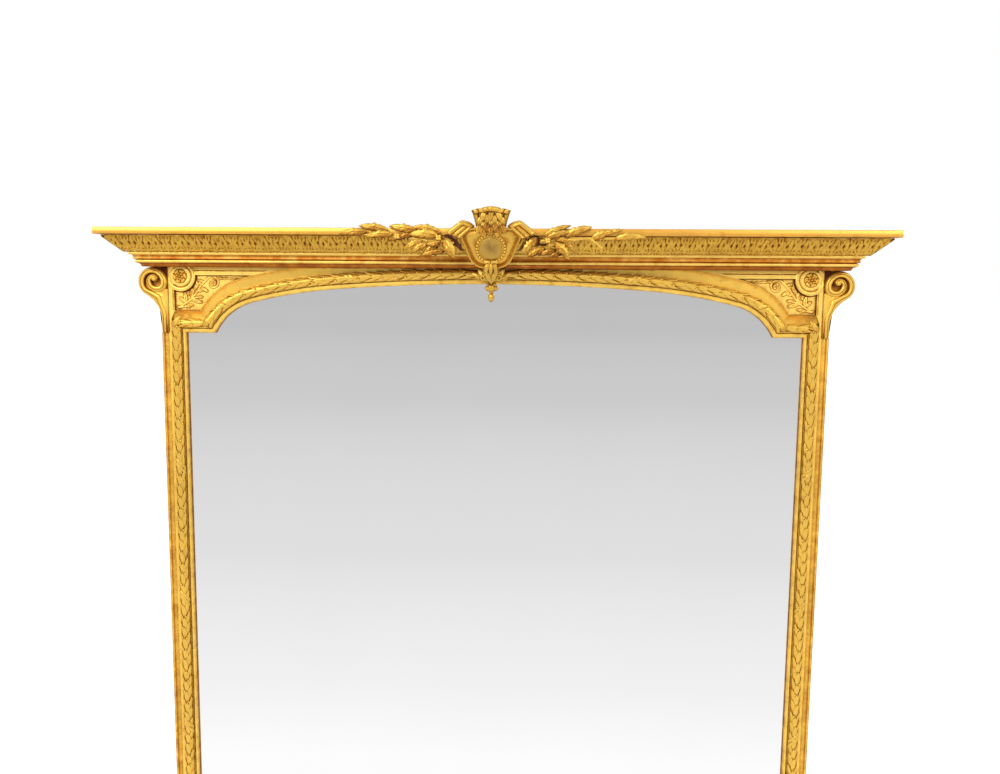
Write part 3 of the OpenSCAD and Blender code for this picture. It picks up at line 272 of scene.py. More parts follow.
def gold_leaf_group():
    """Gold leaf over red bole. With the carving's painted shade the colour goes from gold through a warm
    orange to dark bole, shade painted into the hollows; it varies with the laps of the square leaves and
    is rubbed in small spots."""
    g = bpy.data.node_groups.new("gold_leaf", "ShaderNodeTree")
    for way, kind, names in (("INPUT", "Color", ("Gold", "Warm", "Bole")),
                             ("INPUT", "Float", ("Hollow", "Rub", "Sheen")),
                             ("OUTPUT", "Color", ("Color",)), ("OUTPUT", "Float", ("Roughness", "Height"))):
        for name in names:
            g.interface.new_socket(name, in_out=way, socket_type="NodeSocket" + kind)
    given = put(g, "NodeGroupInput").outputs
    at = put(g, "ShaderNodeTexCoord").outputs["Object"]
    cloud = noise(g, at, 6.0, 4.0)
    fine = noise(g, at, 210.0, 3.0)
    speck = noise(g, at, 46.0, 6.0, Roughness=0.7)
    lap = put(g, "ShaderNodeTexVoronoi", [("Vector", at)], Scale=13.0, distance="CHEBYCHEV")
    lap = put(g, "ShaderNodeSeparateColor", [("Color", lap.outputs["Color"])])
    vary = remap(g, maths(g, "MULTIPLY_ADD", lap.outputs[0], 0.35, cloud), 0.3, 1.05, 0.90, 1.08)
    tint = put(g, "ShaderNodeCombineColor", [(0, vary), (1, vary), (2, vary)])
    tone = mixed(g, 1.0, given["Gold"], tint.outputs[0], "MULTIPLY")
    # painted shade from the carving's attribute, broken by specks, and real rubbed wear both take the gold
    # towards warm orange and bole
    deep = remap(g, maths(g, "ADD", speck, given["Hollow"]), 0.60, 1.5)
    rub = remap(g, maths(g, "ADD", speck, given["Rub"]), 0.80, 0.95, 0.0, 0.6)
    wear_and_shade = maths(g, "MAXIMUM", deep, rub)
    for under, low, high in (("Warm", 0.0, 0.5), ("Bole", 0.5, 1.0)):
        tone = mixed(g, remap(g, wear_and_shade, low, high), tone, given[under])
    rough = maths(g, "MULTIPLY_ADD", wear_and_shade, 0.3, given["Sheen"])
    grain = maths(g, "MULTIPLY_ADD", fine, 0.35, speck)
    put(g, "NodeGroupOutput", [("Color", tone), ("Roughness", rough), ("Height", grain)])
    return g


gold_leaf = gold_leaf_group()


def gilding(name, gold, rub, sheen, metal, bump=0.06, warm=(0.44, 0.165, 0.006), bole=(0.13, 0.032, 0.002)):
    """A gilt finish: the gold_leaf group feeding a metallic surface, with the carving's own hollow
    attribute of painted shade as its depth; the warm and bole colours paint that shade and show in the rubs."""
    m = bpy.data.materials.new(name)
    tree = nodes_of(m)
    depth = put(tree, "ShaderNodeAttribute", attribute_name="hollow").outputs["Fac"]
    g = put(tree, "ShaderNodeGroup", [("Gold", (*gold, 1)), ("Warm", (*warm, 1)), ("Bole", (*bole, 1)),
                                      ("Hollow", depth), ("Rub", rub), ("Sheen", sheen)],
            node_tree=gold_leaf).outputs
    surface(tree, g["Color"], g["Roughness"], metal, g["Height"], bump)
    return m


moulding_gold = gilding("moulding_gold", (0.96, 0.62, 0.105), 0.14, 0.36, 0.6)


def stacked(*axes):
    """Points with the given arrays as their coordinates, each spread over the shape of the others."""
    return np.stack(np.broadcast_arrays(*axes), -1)


def arc(cu, ch, r, a0, a1, n):
    """n points (u, h) on a circle of radius r about (cu, ch), angles in degrees from +u."""
    a = np.radians(np.linspace(a0, a1, n))
    return stacked(cu + r * np.cos(a), ch + r * np.sin(a))


def run(section, first, last, stations):
    """A profile run between two ends. section is (m, 2) of (u, h); first and last give the (x, z) of
    each of its points at either end; y is minus the height."""
    t = np.linspace(0, 1, stations)[:, None, None]
    xz = first * (1 - t) + last * t
    return stacked(xz[..., 0], -section[:, 1], xz[..., 1])


side_section = np.concatenate([
    [[0, 38.0]], arc(5, 45, 5, 180, 90, 9),
    [[6.9, 50.0], [7.3, 45.6], [8.5, 45.6], [8.9, 50.2], [10.7, 50.2], [11.1, 48.0], [31.0, 48.0],
     [31.05, 57.4], [31.7, 58.0], [37.5, 58.0], [38.2, 57.4]],
    arc(44, 56.25, 6.25, 195, 345, 15), [[50.0, 57.0]], arc(53, 55, 3, 150, 0, 9), [[56, 38.0]]])
# Painted shade across the side profile: deeper in the quirk, seat and sunk hollow, deepest on the ends
side_shade = np.interp(side_section[:, 0],
                        [0, 5, 6.8, 7.3, 8.5, 9, 10.6, 11.1, 31, 31.1, 38, 40, 44, 48, 50, 52, 54.5, 56],
                        [.3, .08, .18, .6, .6, .08, .15, .3, .3, .14, .12, .2, .32, .24, .4, .2, .4, .6])
side_shade[[0, -1]] = 0.9, 0.95
u = side_section[:, 0]
in_seat = (side_section[:, 1] < 50.5) & (u < side_u + 0.02)
low_end = stacked(half_w + u, rail_z - u)
high_end = stacked(half_w + u, shoulder_z + np.where(in_seat, u * head_u / side_u, 0))
both_sides("side_moulding", [shells(run(side_section, low_end, high_end, 40), side_shade)], ["moulding"],
           moulding_gold)
carve("bottom_edge_moulding", [shells(run(side_section, low_end * [-1, 1], low_end, 40), side_shade)],
      ["bottom_moulding"], moulding_gold)

# ---- Head mouldings ----
# The same sight edge and seat, wider, and a broad cove up to an arris. The arch is built up of
# lengths sawn to the curve; short straight lengths form the shoulders, mitred at both ends.
apex = 120.4  # rise of the crown over the shoulders
crown_r, haunch_r = 4857.05, 1165.0
knee, turn = 4.43, 14.31  # degrees from the vertical where the crown's arc ends, and the haunch's
end_r, arris_r = 136.6, 171.5  # the end arcs of the sight edge and of the outer arris
cove_w, shoulder_cove = 61.0, 53.0  # from the sight edge to the arris, on the arch and the shoulders
under_cornice = 156.2


def toward(a):
    """The direction at a degrees from the vertical."""
    return stacked(np.sin(np.radians(a)), np.cos(np.radians(a)))


crown_c = np.array([0, apex - crown_r])
haunch_c = crown_c + (crown_r - haunch_r) * toward(knee)
sight_c = haunch_c + (haunch_r - end_r) * toward(turn)
arris_c = haunch_c + (haunch_r + cove_w - arris_r) * toward(turn)


def along_arch(f, grow, c3, r3, z_end):
    """Points (x, z) on the right half of the arch grown by grow, f from 0 at the crown to 3 at the
    mitre: one unit of f for each of the crown, haunch and end arcs, the last of radius r3 about c3
    down to the height z_end. f and grow broadcast."""
    f, grow = np.broadcast_arrays(np.asarray(f, float), np.asarray(grow, float))
    crown = crown_c + (crown_r + grow)[..., None] * toward(np.clip(f, 0, 1) * knee)
    haunch = haunch_c + (haunch_r + grow)[..., None] * toward(knee + np.clip(f - 1, 0, 1) * (turn - knee))
    stop = np.degrees(np.arccos(np.clip((z_end - c3[1]) / r3, -1, 1)))
    end = c3 + np.asarray(r3)[..., None] * toward(turn + np.clip(f - 2, 0, 1) * (stop - turn))
    return np.where((f <= 1)[..., None], crown, np.where((f <= 2)[..., None], haunch, end))


knee_x = float(along_arch(3, cove_w, arris_c, arris_r, shoulder_cove)[0])


def arch_point(f, u, w):
    """(x, z) at f along the arch of the point u outside the opening, or, where w > 0, the share w of
    the way from the garland's edge to the outer arris."""
    inner = along_arch(f, u, sight_c, end_r + u, u)
    outer = along_arch(f, cove_w + 0 * u, arris_c, arris_r, shoulder_cove)
    xz = inner * (1 - w[..., None]) + outer * w[..., None]
    return xz + [0, shoulder_z]


def head_profile():
    """Points as (u, w, h): u up to the garland's edge, then w from 0 to 1 over the cove, whose height
    is 48 + 10 (1 - cos a) / (1 - cos 61) for sin a / sin 61 = w."""
    a = np.radians(np.linspace(4, 61, 14))
    top = np.radians(61)
    inner = np.concatenate([[[0, 38.0]], arc(5, 45, 5, 180, 90, 9),
                            [[9.6, 50.0], [10.1, 45.4], [11.5, 45.4], [12.0, 50.3], [13.7, 50.3],
                             [14.2, 48.0], [35.0, 48.0]]])
    inner = stacked(inner[:, 0], 0, inner[:, 1])
    cove_h = 48 + 10 * (1 - np.cos(a)) / (1 - np.cos(top))
    outer = stacked(head_u, np.sin(a) / np.sin(top) * 0.955, cove_h)
    lip = np.array([[35, 0.962, 58.2], [35, 0.985, 58.2], [35, 1.0, 57.4], [35, 1.0, 38.0]])
    return np.concatenate([inner, outer, lip])


u, w, h = head_profile().T
# Painted shade across the head profile: deeper in the quirk and the seat and towards the cove's arris,
# deepest on the ends
head_shade = np.interp(u + w * 26, [0, 5, 9.5, 10.1, 11.5, 12, 13.6, 14.2, 35, 38, 50, 59, 60, 61],
                        [.35, .05, .2, .5, .5, .05, .12, .3, .2, .02, .04, .2, .05, .5])
head_shade[[0, -1]] = 0.9, 0.95
f = np.concatenate([np.linspace(0, 1, 30), np.linspace(1, 2, 26)[1:], np.linspace(2, 3, 26)[1:]])[:, None]
xz = arch_point(*np.broadcast_arrays(f, u, w))
half = stacked(xz[..., 0], -h, np.minimum(xz[..., 1], shoulder_z + under_cornice))
whole = np.concatenate([(half * [-1, 1, 1])[:0:-1], half])
carve("arch_front_moulding", [shells(whole, head_shade)], ["arch_moulding"], moulding_gold)

at_arch = arch_point(3 + 0 * u, u, w)
rise = np.where(w > 0, head_u + w * (shoulder_cove - head_u), u)
at_side = stacked(np.where(w > 0, strip_x - 8 * w, half_w + u * side_u / head_u), shoulder_z + rise)
both_sides("shoulder_front", [shells(run(stacked(u, h), at_arch, at_side, 6), head_shade)],
           ["shoulder_moulding"], moulding_gold)

# ---- Laurel garlands ----
# Carved bay leaves in overlapping whorls with berries, lying in the mouldings' channels, and bound
# at every 332 mm by a slanting ribbon. The side garlands rise; the arch's leaves point outwards.
garland_h = 54.0
tie_pitch = 332.0
side_axis = 21.0  # the garland's middle outside the sight edge, on the sides
head_axis = 24.5  # and on the head
side_r, head_r = 10, 10.5
# carved_gold is a darker copy of the moulding gold, painted shade for the carvings
carved_gold = gilding("carved_gold", (0.81, 0.50, 0.074), 0.10, 0.34, 0.6, 0.1)


def bay_leaf(n=8, across=9):
    """One leaf as a closed lens of unit size, half sin(pi a^0.85)^0.75 wide. Returns a from 0 at the
    stalk to 1 at the tip, the place across, 1 on the upper face and -1 on the lower, and the share of
    the way from the midrib to the edge."""
    a = np.linspace(0, 1, n)[:, None]
    q = np.linspace(-1, 1, across - 3)
    b = np.concatenate([q, q[::-1][1:-1:2]])[None]
    top = np.concatenate([np.ones(len(q)), -np.ones(b.shape[1] - len(q))])[None]
    width = np.sin(np.pi * a ** 0.85) ** 0.75
    width[0] = width[-1] = 0
    return a, b * width, top, b


def garland(spot, length, r, start=0.0, ties=()):
    """Leaves, berries, core and ribbons on a half round of radius r. spot(s, u) gives the (x, z) of
    the place s along and u outside the garland's axis; height is garland_h + r cos q."""
    whorl = tie_pitch / 12

    def wrapped(s, q, rad, shade, lowest=46.5, ends=False):
        s, q, rad, shade = np.broadcast_arrays(s, q, rad, shade)
        xz = spot(np.clip(s, 0, length), rad * np.sin(q))
        y = -np.maximum(garland_h + rad * np.cos(q), lowest)
        return shells(stacked(xz[..., 0], y, xz[..., 1]), shade, ends)

    s = np.linspace(0, length, max(int(length / 12), 8))[:, None]
    q = np.radians(np.concatenate([np.linspace(-100, 100, 13), [140, 220]]))
    # the core, seen only between the leaves, is painted in half shade, less on its low flanks
    tone = 0.46 - 0.22 * np.clip((np.abs(q) - 1.0) / 0.4, 0, 1)
    parts = [wrapped(s, q, r - 2.6, tone, 47.0, True)]
    # leaves: one over the crest and one on each flank in every whorl
    a, b, top, edge = bay_leaf()
    k = np.arange(int(length / whorl) + 2)[:, None, None]
    for where, long, wide, lag in ((0, 38, 6.4, 0), (-50, 37, 6.2, 0.5), (50, 37, 6.2, 0.5)):
        s0 = (k - 1 + lag) * whorl
        jig = np.sin(k * 2.399 + where)
        lift = r - 2.6 + 4.4 * a + 1.1 * top * (1 - edge ** 2) - 0.9 * (1 - np.abs(edge)) ** 4 * (top > 0)
        lift = np.where(top > 0, lift + 0.6, lift - 1.6)
        lean = np.radians(where + jig * 5) + np.radians(np.sign(where) * 10) * a
        # each leaf is painted in shade near its stalk, where the leaf before lies over it, and on its back;
        # the sine varies the tone
        shade = np.clip(0.62 - 1.5 * a + 0.10 * np.abs(edge) ** 3 + 0.16 * np.sin(s0 * 1.7 + where)
                        + 0.2 * (top < 0), 0, 1)
        leaf = np.broadcast_arrays(s0 + a * (long + 2 * jig), lean + b * wide / r, lift, shade)
        keep = ((s0 + long * 0.3 > start) & (s0 < length - 4))[:, 0, 0]
        parts.append(wrapped(*(v[keep] for v in leaf)))
    # berries on short stalks, now on one flank and now on the other, painted in shade where they sit on the
    # garland
    lat = np.linspace(0, np.pi, 6)[:, None]
    lon = np.linspace(0, 2 * np.pi, 8, endpoint=False)
    s0 = (k + 0.32) * whorl
    q0 = np.radians(np.where(k % 2 == 0, 26, -26))
    size = 3.1
    s = s0 + size * np.sin(lat) * np.cos(lon)
    q = q0 + size * np.sin(lat) * np.sin(lon) / r
    berry = np.broadcast_arrays(s, q, r + 1.0 + size * np.cos(lat), 0.5 - 0.6 * np.cos(lat))
    keep = ((s0 > start + 4) & (s0 < length - 4))[:, 0, 0]
    parts.append(wrapped(*(v[keep] for v in berry)))
    # ribbons, each of two turns, painted in shade on their inner side
    q = np.linspace(-95, 95, 15)[:, None]
    e = np.linspace(0, 2 * np.pi, 10, endpoint=False)
    rad = r + 1.2 + 1.1 * np.sign(np.sin(e)) * np.abs(np.sin(e)) ** 0.6
    for centre in ties:
        for lay in (0.0, 11.0):
            s = centre + lay + q / 90 * 15 + 5.0 * np.cos(e)
            parts.append(wrapped(s, np.radians(q), rad, 0.30 - 0.25 * np.sin(e)))
    return parts


def side_spot(s, u):
    """From the lower corner's mitre up the right side."""
    return stacked(half_w + side_axis + u, rail_z - side_axis + s)


parts = garland(side_spot, side_axis + shoulder_z - rail_z + 28, side_r,
                ties=[side_axis + k * tie_pitch + 6 for k in (1, 2, 3)])
for points, *_ in parts:
    x = np.abs(points[:, 0]) - half_w
    points[:, 2] = np.clip(points[:, 2], rail_z - x, shoulder_z + x * head_u / side_u)
both_sides("side_garland", parts, ["garland"], carved_gold, 50)


def bottom_spot(s, u):
    """From the left corner's mitre to the right one's."""
    return stacked(s - half_w - side_axis, rail_z - side_axis - u)


parts = garland(bottom_spot, 2 * (half_w + side_axis), side_r,
                ties=[side_axis + half_w + k * tie_pitch for k in (-2, -1, 0, 1, 2)])
for points, *_ in parts:
    reach = half_w - points[:, 2] + rail_z
    points[:, 0] = np.clip(points[:, 0], -reach, reach)
carve("bottom_edge_garland", parts, ["bottom_garland"], carved_gold, 50)

axis_end = arch_point(np.array(3.0), np.array(head_axis), np.array(0.0))[0]
mitre_x = at_arch[0, 0]


def shoulder_spot(s, u):
    """From the arch's mitre out to the corner."""
    return stacked(axis_end + s, shoulder_z + head_axis + u)


parts = garland(shoulder_spot, half_w + 22 - axis_end, head_r)
mitre_slope = (knee_x - mitre_x) / shoulder_cove
for points, *_ in parts:
    up = points[:, 2] - shoulder_z
    points[:, 0] = np.clip(points[:, 0], mitre_x + up * mitre_slope, half_w + up * side_u / head_u)
both_sides("shoulder_laurel", parts, ["shoulder_garland"], carved_gold, 50)

arch_steps = np.linspace(0, 3, 601)
arch_axis = arch_point(arch_steps, head_axis + 0 * arch_steps, 0 * arch_steps)
arch_s = np.concatenate([[0], np.cumsum(np.linalg.norm(np.diff(arch_axis, axis=0), axis=1))])


def arch_spot(s, u):
    """s along the right half of the arch's axis, u outwards."""
    f, u = np.broadcast_arrays(np.interp(s, arch_s, arch_steps), u)
    return arch_point(f, head_axis + u, 0 * u)


parts = garland(arch_spot, arch_s[-1], head_r, start=30, ties=[328, 640])
parts += [mirrored(p) for p in parts]
carve("arch_laurel", parts, ["arch_garland"], carved_gold, 50)


def near(d, w):
    """1 where d is 0, fading on both sides: e to the minus (d / w) squared."""
    return np.exp(-(d / w) ** 2)


def blade(length, width, thick=2.6, rows=14, across=11, teeth=0.0, bow=0.0, bend=0.0):
    """A leaf with its stalk at the origin, its tip up z and its face towards -y, as a closed skin.
    Half-width is sin(pi t^0.8)^0.8, cut by uneven teeth; the midrib bends sideways by bend sin(pi t)
    and bows out by bow sin(pi t); the face is domed, with veins and a groove along the midrib."""
    t = np.linspace(0, 1, rows)[:, None]
    q = np.linspace(-1, 1, across)
    b = np.concatenate([q, q[::-1][1:-1]])[None]
    face = np.concatenate([np.ones(across), np.zeros(across - 2)])[None]
    half = np.sin(np.pi * t ** 0.8) ** 0.8 * width / 2
    half[0] = half[-1] = 0
    notch = 0.55 + 0.3 * np.sin(t * 33 + b * 1.3) + 0.25 * np.sin(t * 19 + 2 * b)
    half = half * (1 - teeth * notch * np.sin(np.pi * t))
    body = np.sin(np.pi * np.clip(t, 0.02, 0.98)) ** 0.5
    spine = -bow * np.sin(np.pi * t)
    vein = 0.22 * np.cos(t * 30 - np.abs(b) * 5) * (1 - b ** 2)
    crown = thick * body * (1 - 0.85 * b ** 2) - 0.8 * near(b, 0.10) * body
    y = np.where(face > 0, spine - crown - vein * body, spine + 0.8)
    x = b * half + bend * np.sin(np.pi * t)
    # painted shade: deeper near the stalk, along the midrib's groove, towards the edges and on the back face
    shade = 0.45 * (1 - t) ** 3 + 0.35 * near(b, 0.09) + 0.4 * b ** 6 + (1 - face) * 0.55
    return stacked(x, y, t * length), np.clip(shade, 0, 1)


def turned(points, angle, lean=0.0):
    """Turns points about y by angle degrees in the front view (positive to the viewer's right), after
    tipping them forwards by lean degrees about x."""
    a, l = np.radians([angle, lean])
    x, y, z = points[..., 0], points[..., 1], points[..., 2]
    y, z = y * np.cos(l) - z * np.sin(l), y * np.sin(l) + z * np.cos(l)
    return stacked(x * np.cos(a) + z * np.sin(a), y, z * np.cos(a) - x * np.sin(a))


# Leaves laid over the garlands' mitres
parts = []
for x, z, angle, rise in ((half_w + 19, shoulder_z + 27, -38, head_r),
                          (mitre_x + 15, shoulder_z + 27, -32, head_r),
                          (half_w + side_axis, rail_z - side_axis, -45, side_r)):
    for spread, long, wide in ((-34, 26, 10), (34, 26, 10), (0, 34, 12)):
        skin, shade = blade(long, wide, 2.4, bow=2.5)
        place = [x, -(garland_h + rise - 1.5 + (spread == 0)), z]
        skin = turned(skin - [0, 0, long * 0.45], angle + spread) + place
        parts.append(shells(skin, shade * 0.8, ends=False))
parts += [mirrored(p) for p in parts]
carve("corner_leaf_clusters", parts, ["corner_leaves"], carved_gold, 50)

# ---- Spandrel boards ----
# A flat board beside the arch with a sunk field, plain border strips and a round ear that carries
# the rosette; stems, leaves and one curled scroll are carved in low relief on the field.
face_h = 58.0  # the mouldings' face before the wall
border_x = strip_x - 8
ear_x = border_x - 16
ear_z = 134.5
ear_r = 36
field_top = 137.0
strip_groove = 148  # height of the groove along the top strip


def segment_gap(x, z, line):
    """Distance from each grid point to a polyline, and how far along it (0 to 1) the nearest point is."""
    best = np.full(x.shape, 1e9)
    share = np.zeros(x.shape)
    line = np.asarray(line, float)
    for k in range(len(line) - 1):
        p, q = line[k], line[k + 1]
        d = q - p
        t = np.clip(((x - p[0]) * d[0] + (z - p[1]) * d[1]) / (d @ d), 0, 1)
        gap = np.hypot(x - p[0] - t * d[0], z - p[1] - t * d[1])
        share = np.where(gap < best, (k + t) / (len(line) - 1), share)
        best = np.minimum(gap, best)
    return best, share


def curl(cx, cz, r0, r1, a0, a1, n=24):
    """Points of a spiral about (cx, cz), radius r0 to r1 and angle a0 to a1 in degrees."""
    a = np.radians(np.linspace(a0, a1, n))
    r = np.linspace(r0, r1, n)
    return stacked(cx + r * np.cos(a), cz + r * np.sin(a))


def dome(d, w):
    """1 at d = 0, rounded down to 0 at w: the root of 1 less (d / w) squared."""
    return np.sqrt(np.clip(1 - (d / w) ** 2, 0, None))


def relief(x, z):
    """Height of the carved stems, leaves, scroll and flower over the field, the highest of all: a stem
    is a half round, a leaf is a dome over a lens with a groove along its midrib."""
    high = np.zeros(x.shape)

    def stem(line, r0, r1):
        gap, t = segment_gap(x, z, line)
        r = r0 + (r1 - r0) * t
        return np.sqrt(np.clip(r ** 2 - gap ** 2, 0, None)) * 0.9

    def leaf(px, pz, angle, length, width, tall=3.4):
        a = np.radians(angle)
        along = (x - px) * np.sin(a) + (z - pz) * np.cos(a)
        side = (x - px) * np.cos(a) - (z - pz) * np.sin(a)
        t = along / length
        half = 0.42 * width * np.sin(np.pi * np.clip(t, 0, 1) ** 0.85) ** 0.7 + 1e-6
        b = side / half
        lobes = 1 + 0.14 * np.cos(t * 17 - np.abs(b) * 2)
        h = tall * np.clip(1 - np.abs(b) ** 2.6, 0, None) ** 0.5 * lobes - 1.2 * near(side, 0.8)
        return np.where((t > 0) & (t < 1), h, 0)

    foot, eye = (748, 60), (664, 119)
    for line, r0, r1 in (
            ([foot, (736, 67), (722, 77), (708, 91), (697, 107), (689, 119), (680, 129), (668, 134),
              (656, 131)], 2.6, 2.0),
            (np.concatenate([[(690, 116)], curl(*eye, 17, 9, 25, 330)]), 3.0, 2.2),
            ([(722, 77), (712, 82), (702, 84), (694, 86)], 3.0, 1.6),
            ([(717, 83), (712, 98), (708, 112), (706, 124)], 2.8, 1.8),
            ([(664, 133), (650, 128), (638, 129), (618, 129)], 2.2, 1.5),
            ([foot, (735, 62), (722, 60)], 3.0, 1.6)):
        high = np.maximum(high, stem(line, r0, r1))
    for place_and_size in (
            (718, 80, -106, 30, 12), (712, 96, 26, 24, 10), (711, 102, -36, 22, 10), (707, 110, -8, 21, 12),
            (710, 108, 36, 18, 9), (730, 73, 6, 27, 12), (731, 72, 48, 21, 10), (736, 62, -78, 26, 9),
            (744, 60, 62, 10, 6), (692, 108, -122, 20, 9), (700, 98, -60, 19, 9), (686, 122, 74, 17, 8),
            (723, 88, 14, 24, 9), (703, 88, -104, 16, 8), (655, 129, -82, 15, 9, 3.8),
            (641, 129, -86, 15, 8, 3.4), (628, 129, -88, 14, 7, 3.0), (615, 130, -90, 13, 5, 2.6)):
        high = np.maximum(high, leaf(*place_and_size))
    # the flower: five petals round a button
    d = np.hypot(x - eye[0], z - eye[1])
    a = np.arctan2(z - eye[1], x - eye[0])
    petal = 5.2 * dome(d - 4.8, 3.9) * (0.5 + 0.5 * np.abs(np.cos(2.5 * a)))
    return np.maximum(high, np.maximum(petal, 5.8 * dome(d, 2.4)))


def dips(high, gain, n=3):
    """How far each point of a height grid lies below the mean of its n neighbours each way, times gain:
    painted shade in the hollows between carved forms."""
    mean = high
    span = 2 * n + 1
    for axis in (0, 1):
        pad = [(0, 0), (0, 0)]
        pad[axis] = (n + 1, n)
        c = np.cumsum(np.pad(mean, pad, mode="edge"), axis)
        size = c.shape[axis]
        mean = (np.take(c, range(span, size), axis) - np.take(c, range(size - span), axis)) / span
    return np.clip((mean - high) * gain, 0, 1)


def backed(front, shade, y):
    """A closed skin from the front of one: each cross-section goes back along the flat at depth y, whose two
    back points are painted in deep shade.
    """
    back = front[:, [-1, 0]]
    back[..., 1] = y
    return shells(np.concatenate([front, back], 1), np.concatenate([shade, 0.9 + 0 * shade[:, :2]], 1))


def spandrel():
    """A closed skin over columns of x. Each column runs from the arris or the border's lower end up to
    the cornice: height is the face, less the sunk field, plus the relief; the back is flat."""
    f = np.linspace(0, 3, 900)
    arris = along_arch(f, cove_w + 0 * f, arris_c, arris_r, shoulder_cove)
    x = np.unique(np.concatenate([np.arange(466.0, 600, 1.5), np.arange(600, 771.01, 0.8),
                                  [knee_x, border_x - 0.8, border_x, strip_x - 0.2, strip_x + 0.2]]))
    low = np.interp(x, arris[:, 0], arris[:, 1])
    low = np.where(x > knee_x, shoulder_cove, low)
    low = np.where(x > border_x, shoulder_cove - 18 * (x - border_x) / 8, low)
    low = np.where(x > strip_x, 0, low)
    low = np.minimum(low, 155.9)  # a sliver of board is left over the arch
    g = np.linspace(0, 1, 150)
    gx, gz = np.broadcast_arrays(x[:, None], low[:, None] + (under_cornice - low[:, None]) * g)
    # signed distance inside the field: positive within
    ear = np.hypot(gx - ear_x, gz - ear_z)
    off_end = np.hypot(gx - arris_c[0], gz - arris_c[1]) - arris_r
    off_haunch = np.hypot(gx - haunch_c[0], gz - haunch_c[1]) - haunch_r - cove_w
    past_haunch = gx > arris_c[0] + (gz - arris_c[1]) * np.tan(np.radians(turn))
    off_arch = np.where(past_haunch, off_end, off_haunch)
    inside = np.minimum.reduce([field_top - gz, border_x - gx, ear - ear_r, off_arch - 0.2,
                                gz - shoulder_cove - 0.2])
    face = face_h - 8 * np.clip(inside / 1.4, 0, 1)
    # the ear: a raised rim round a shallow dish
    rim = 1.5 * np.exp(-((ear - 31) / 4.0) ** 4) - 1.2 * near(ear - 25.6, 1.4)
    face = face + np.where((ear < ear_r) & (gx < 768), rim, 0)
    # fine grooves: along the top strip, down the side's border and beside its strip
    on_top = (ear > ear_r + 1) * (off_arch > 3)
    on_side = (ear > ear_r + 1) * (gz > shoulder_cove)
    from_border, from_strip = gx - (border_x + 3), gx - (strip_x + 6)
    face = face - 1.3 * near(gz - strip_groove, 1.1) * on_top
    face = face - 1.0 * near(from_border, 1.0) * on_side
    face = face - 1.2 * near(from_strip, 1.0)
    carved = relief(gx, gz) * np.clip((inside - 1.6) / 1.2, 0, 1)
    # painted shade: a warm band inside the sunk field's edge and a dark line along it, deeper in the
    # relief's hollows, in the ear's inner groove and round the ear, and along the fine grooves
    orange = 0.30 * np.exp(-np.clip(inside, 0, None) / 5.0) * (inside > 0)
    shade = np.clip(0.06 + np.maximum(near(inside - 0.8, 0.9) * 0.95, orange) + dips(carved, 0.55)
                    + 0.5 * near(ear - 25.6, 1.6) * (gx < 758)
                    + 0.5 * near(ear - ear_r - 1, 1.8) * (inside > 0)
                    + 0.55 * near(gz - strip_groove, 1.2) * on_top + 0.5 * near(from_border, 1.1) * on_side
                    + 0.35 * near(from_strip, 1.2), 0, 1)
    return backed(stacked(gx, -(face + carved), gz + shoulder_z), shade, -38)


flat_gold = gilding("flat_gold", (0.93, 0.62, 0.125), 0.08, 0.34, 0.6)
both_sides("spandrel_relief", [spandrel()], ["spandrel_board", "spandrel_scroll"],
           flat_gold, 50)

# ---- Rosettes ----
# One carved rosette on each ear: an outer ring of six leaves and an inner ring that curls round a
# button, cut deeply between.
rose_x = ear_x + 1
rose_z = shoulder_z + ear_z


def rosette():
    """Polar skin: height over radius r and angle a is an outer ring of leaves and an inner one turned
    half a leaf, each a dome split by a groove and swirled a little, and a button."""
    r = np.linspace(0, 1, 34)[:, None]
    a = np.linspace(0, 2 * np.pi, 120, endpoint=False)[None]
    swirl = a + 0.5 * (1 - r)
    reach = 19.5 * (0.84 + 0.16 * np.abs(np.cos(3 * swirl)) ** 0.6)
    rad = r * reach
    outer = 5.4 * np.abs(np.cos(3 * swirl)) ** 0.45 * np.exp(-((rad - 12.6) / 4.6) ** 4) \
        - 1.6 * near(np.sin(3 * swirl), 0.18) * (rad > 8)
    inner = 7.6 * np.abs(np.sin(3 * swirl)) ** 0.5 * np.exp(-((rad - 6.4) / 2.8) ** 4)
    high = np.maximum.reduce([outer, inner, 8.6 * dome(rad, 3.2), 0.6 + 0 * outer])
    top = stacked(rose_x + rad * np.cos(a), -(57 + high), rose_z + rad * np.sin(a))
    rim = top[-1:].copy()
    rim[..., 1] = -55
    end = rim * [0, 1, 0] + [rose_x, 0, rose_z]
    # painted shade, deeper the lower the carving lies
    shade = np.clip(1.0 - high / 4.2, 0, 1)
    rows = np.concatenate([top, rim, end])
    return shells(rows, np.concatenate([shade, shade[-1:], shade[-1:]]), ends=False)


both_sides("rosette_flower", [rosette()], ["rosette"], carved_gold, 50)

# ---- Consoles ----
# A scrolled bracket on each side under the cornice: a rounded band runs up from the moulding's edge,
# round the volute and in to the eye, with a groove between its turns that is painted dark red as shade.
volute_radii = [35, 37, 24, 27, 17.5, 11.5]
volute_z = 121.2
eye_x, eye_z, eye_r = 803.5, 128.4, 7.8
stile_x = 771.5  # the ground's inner edge, in the stile's hollow
foot_r = 74  # the hollow curve under the volute
console_top = 156.0
body_x = half_w + side_w


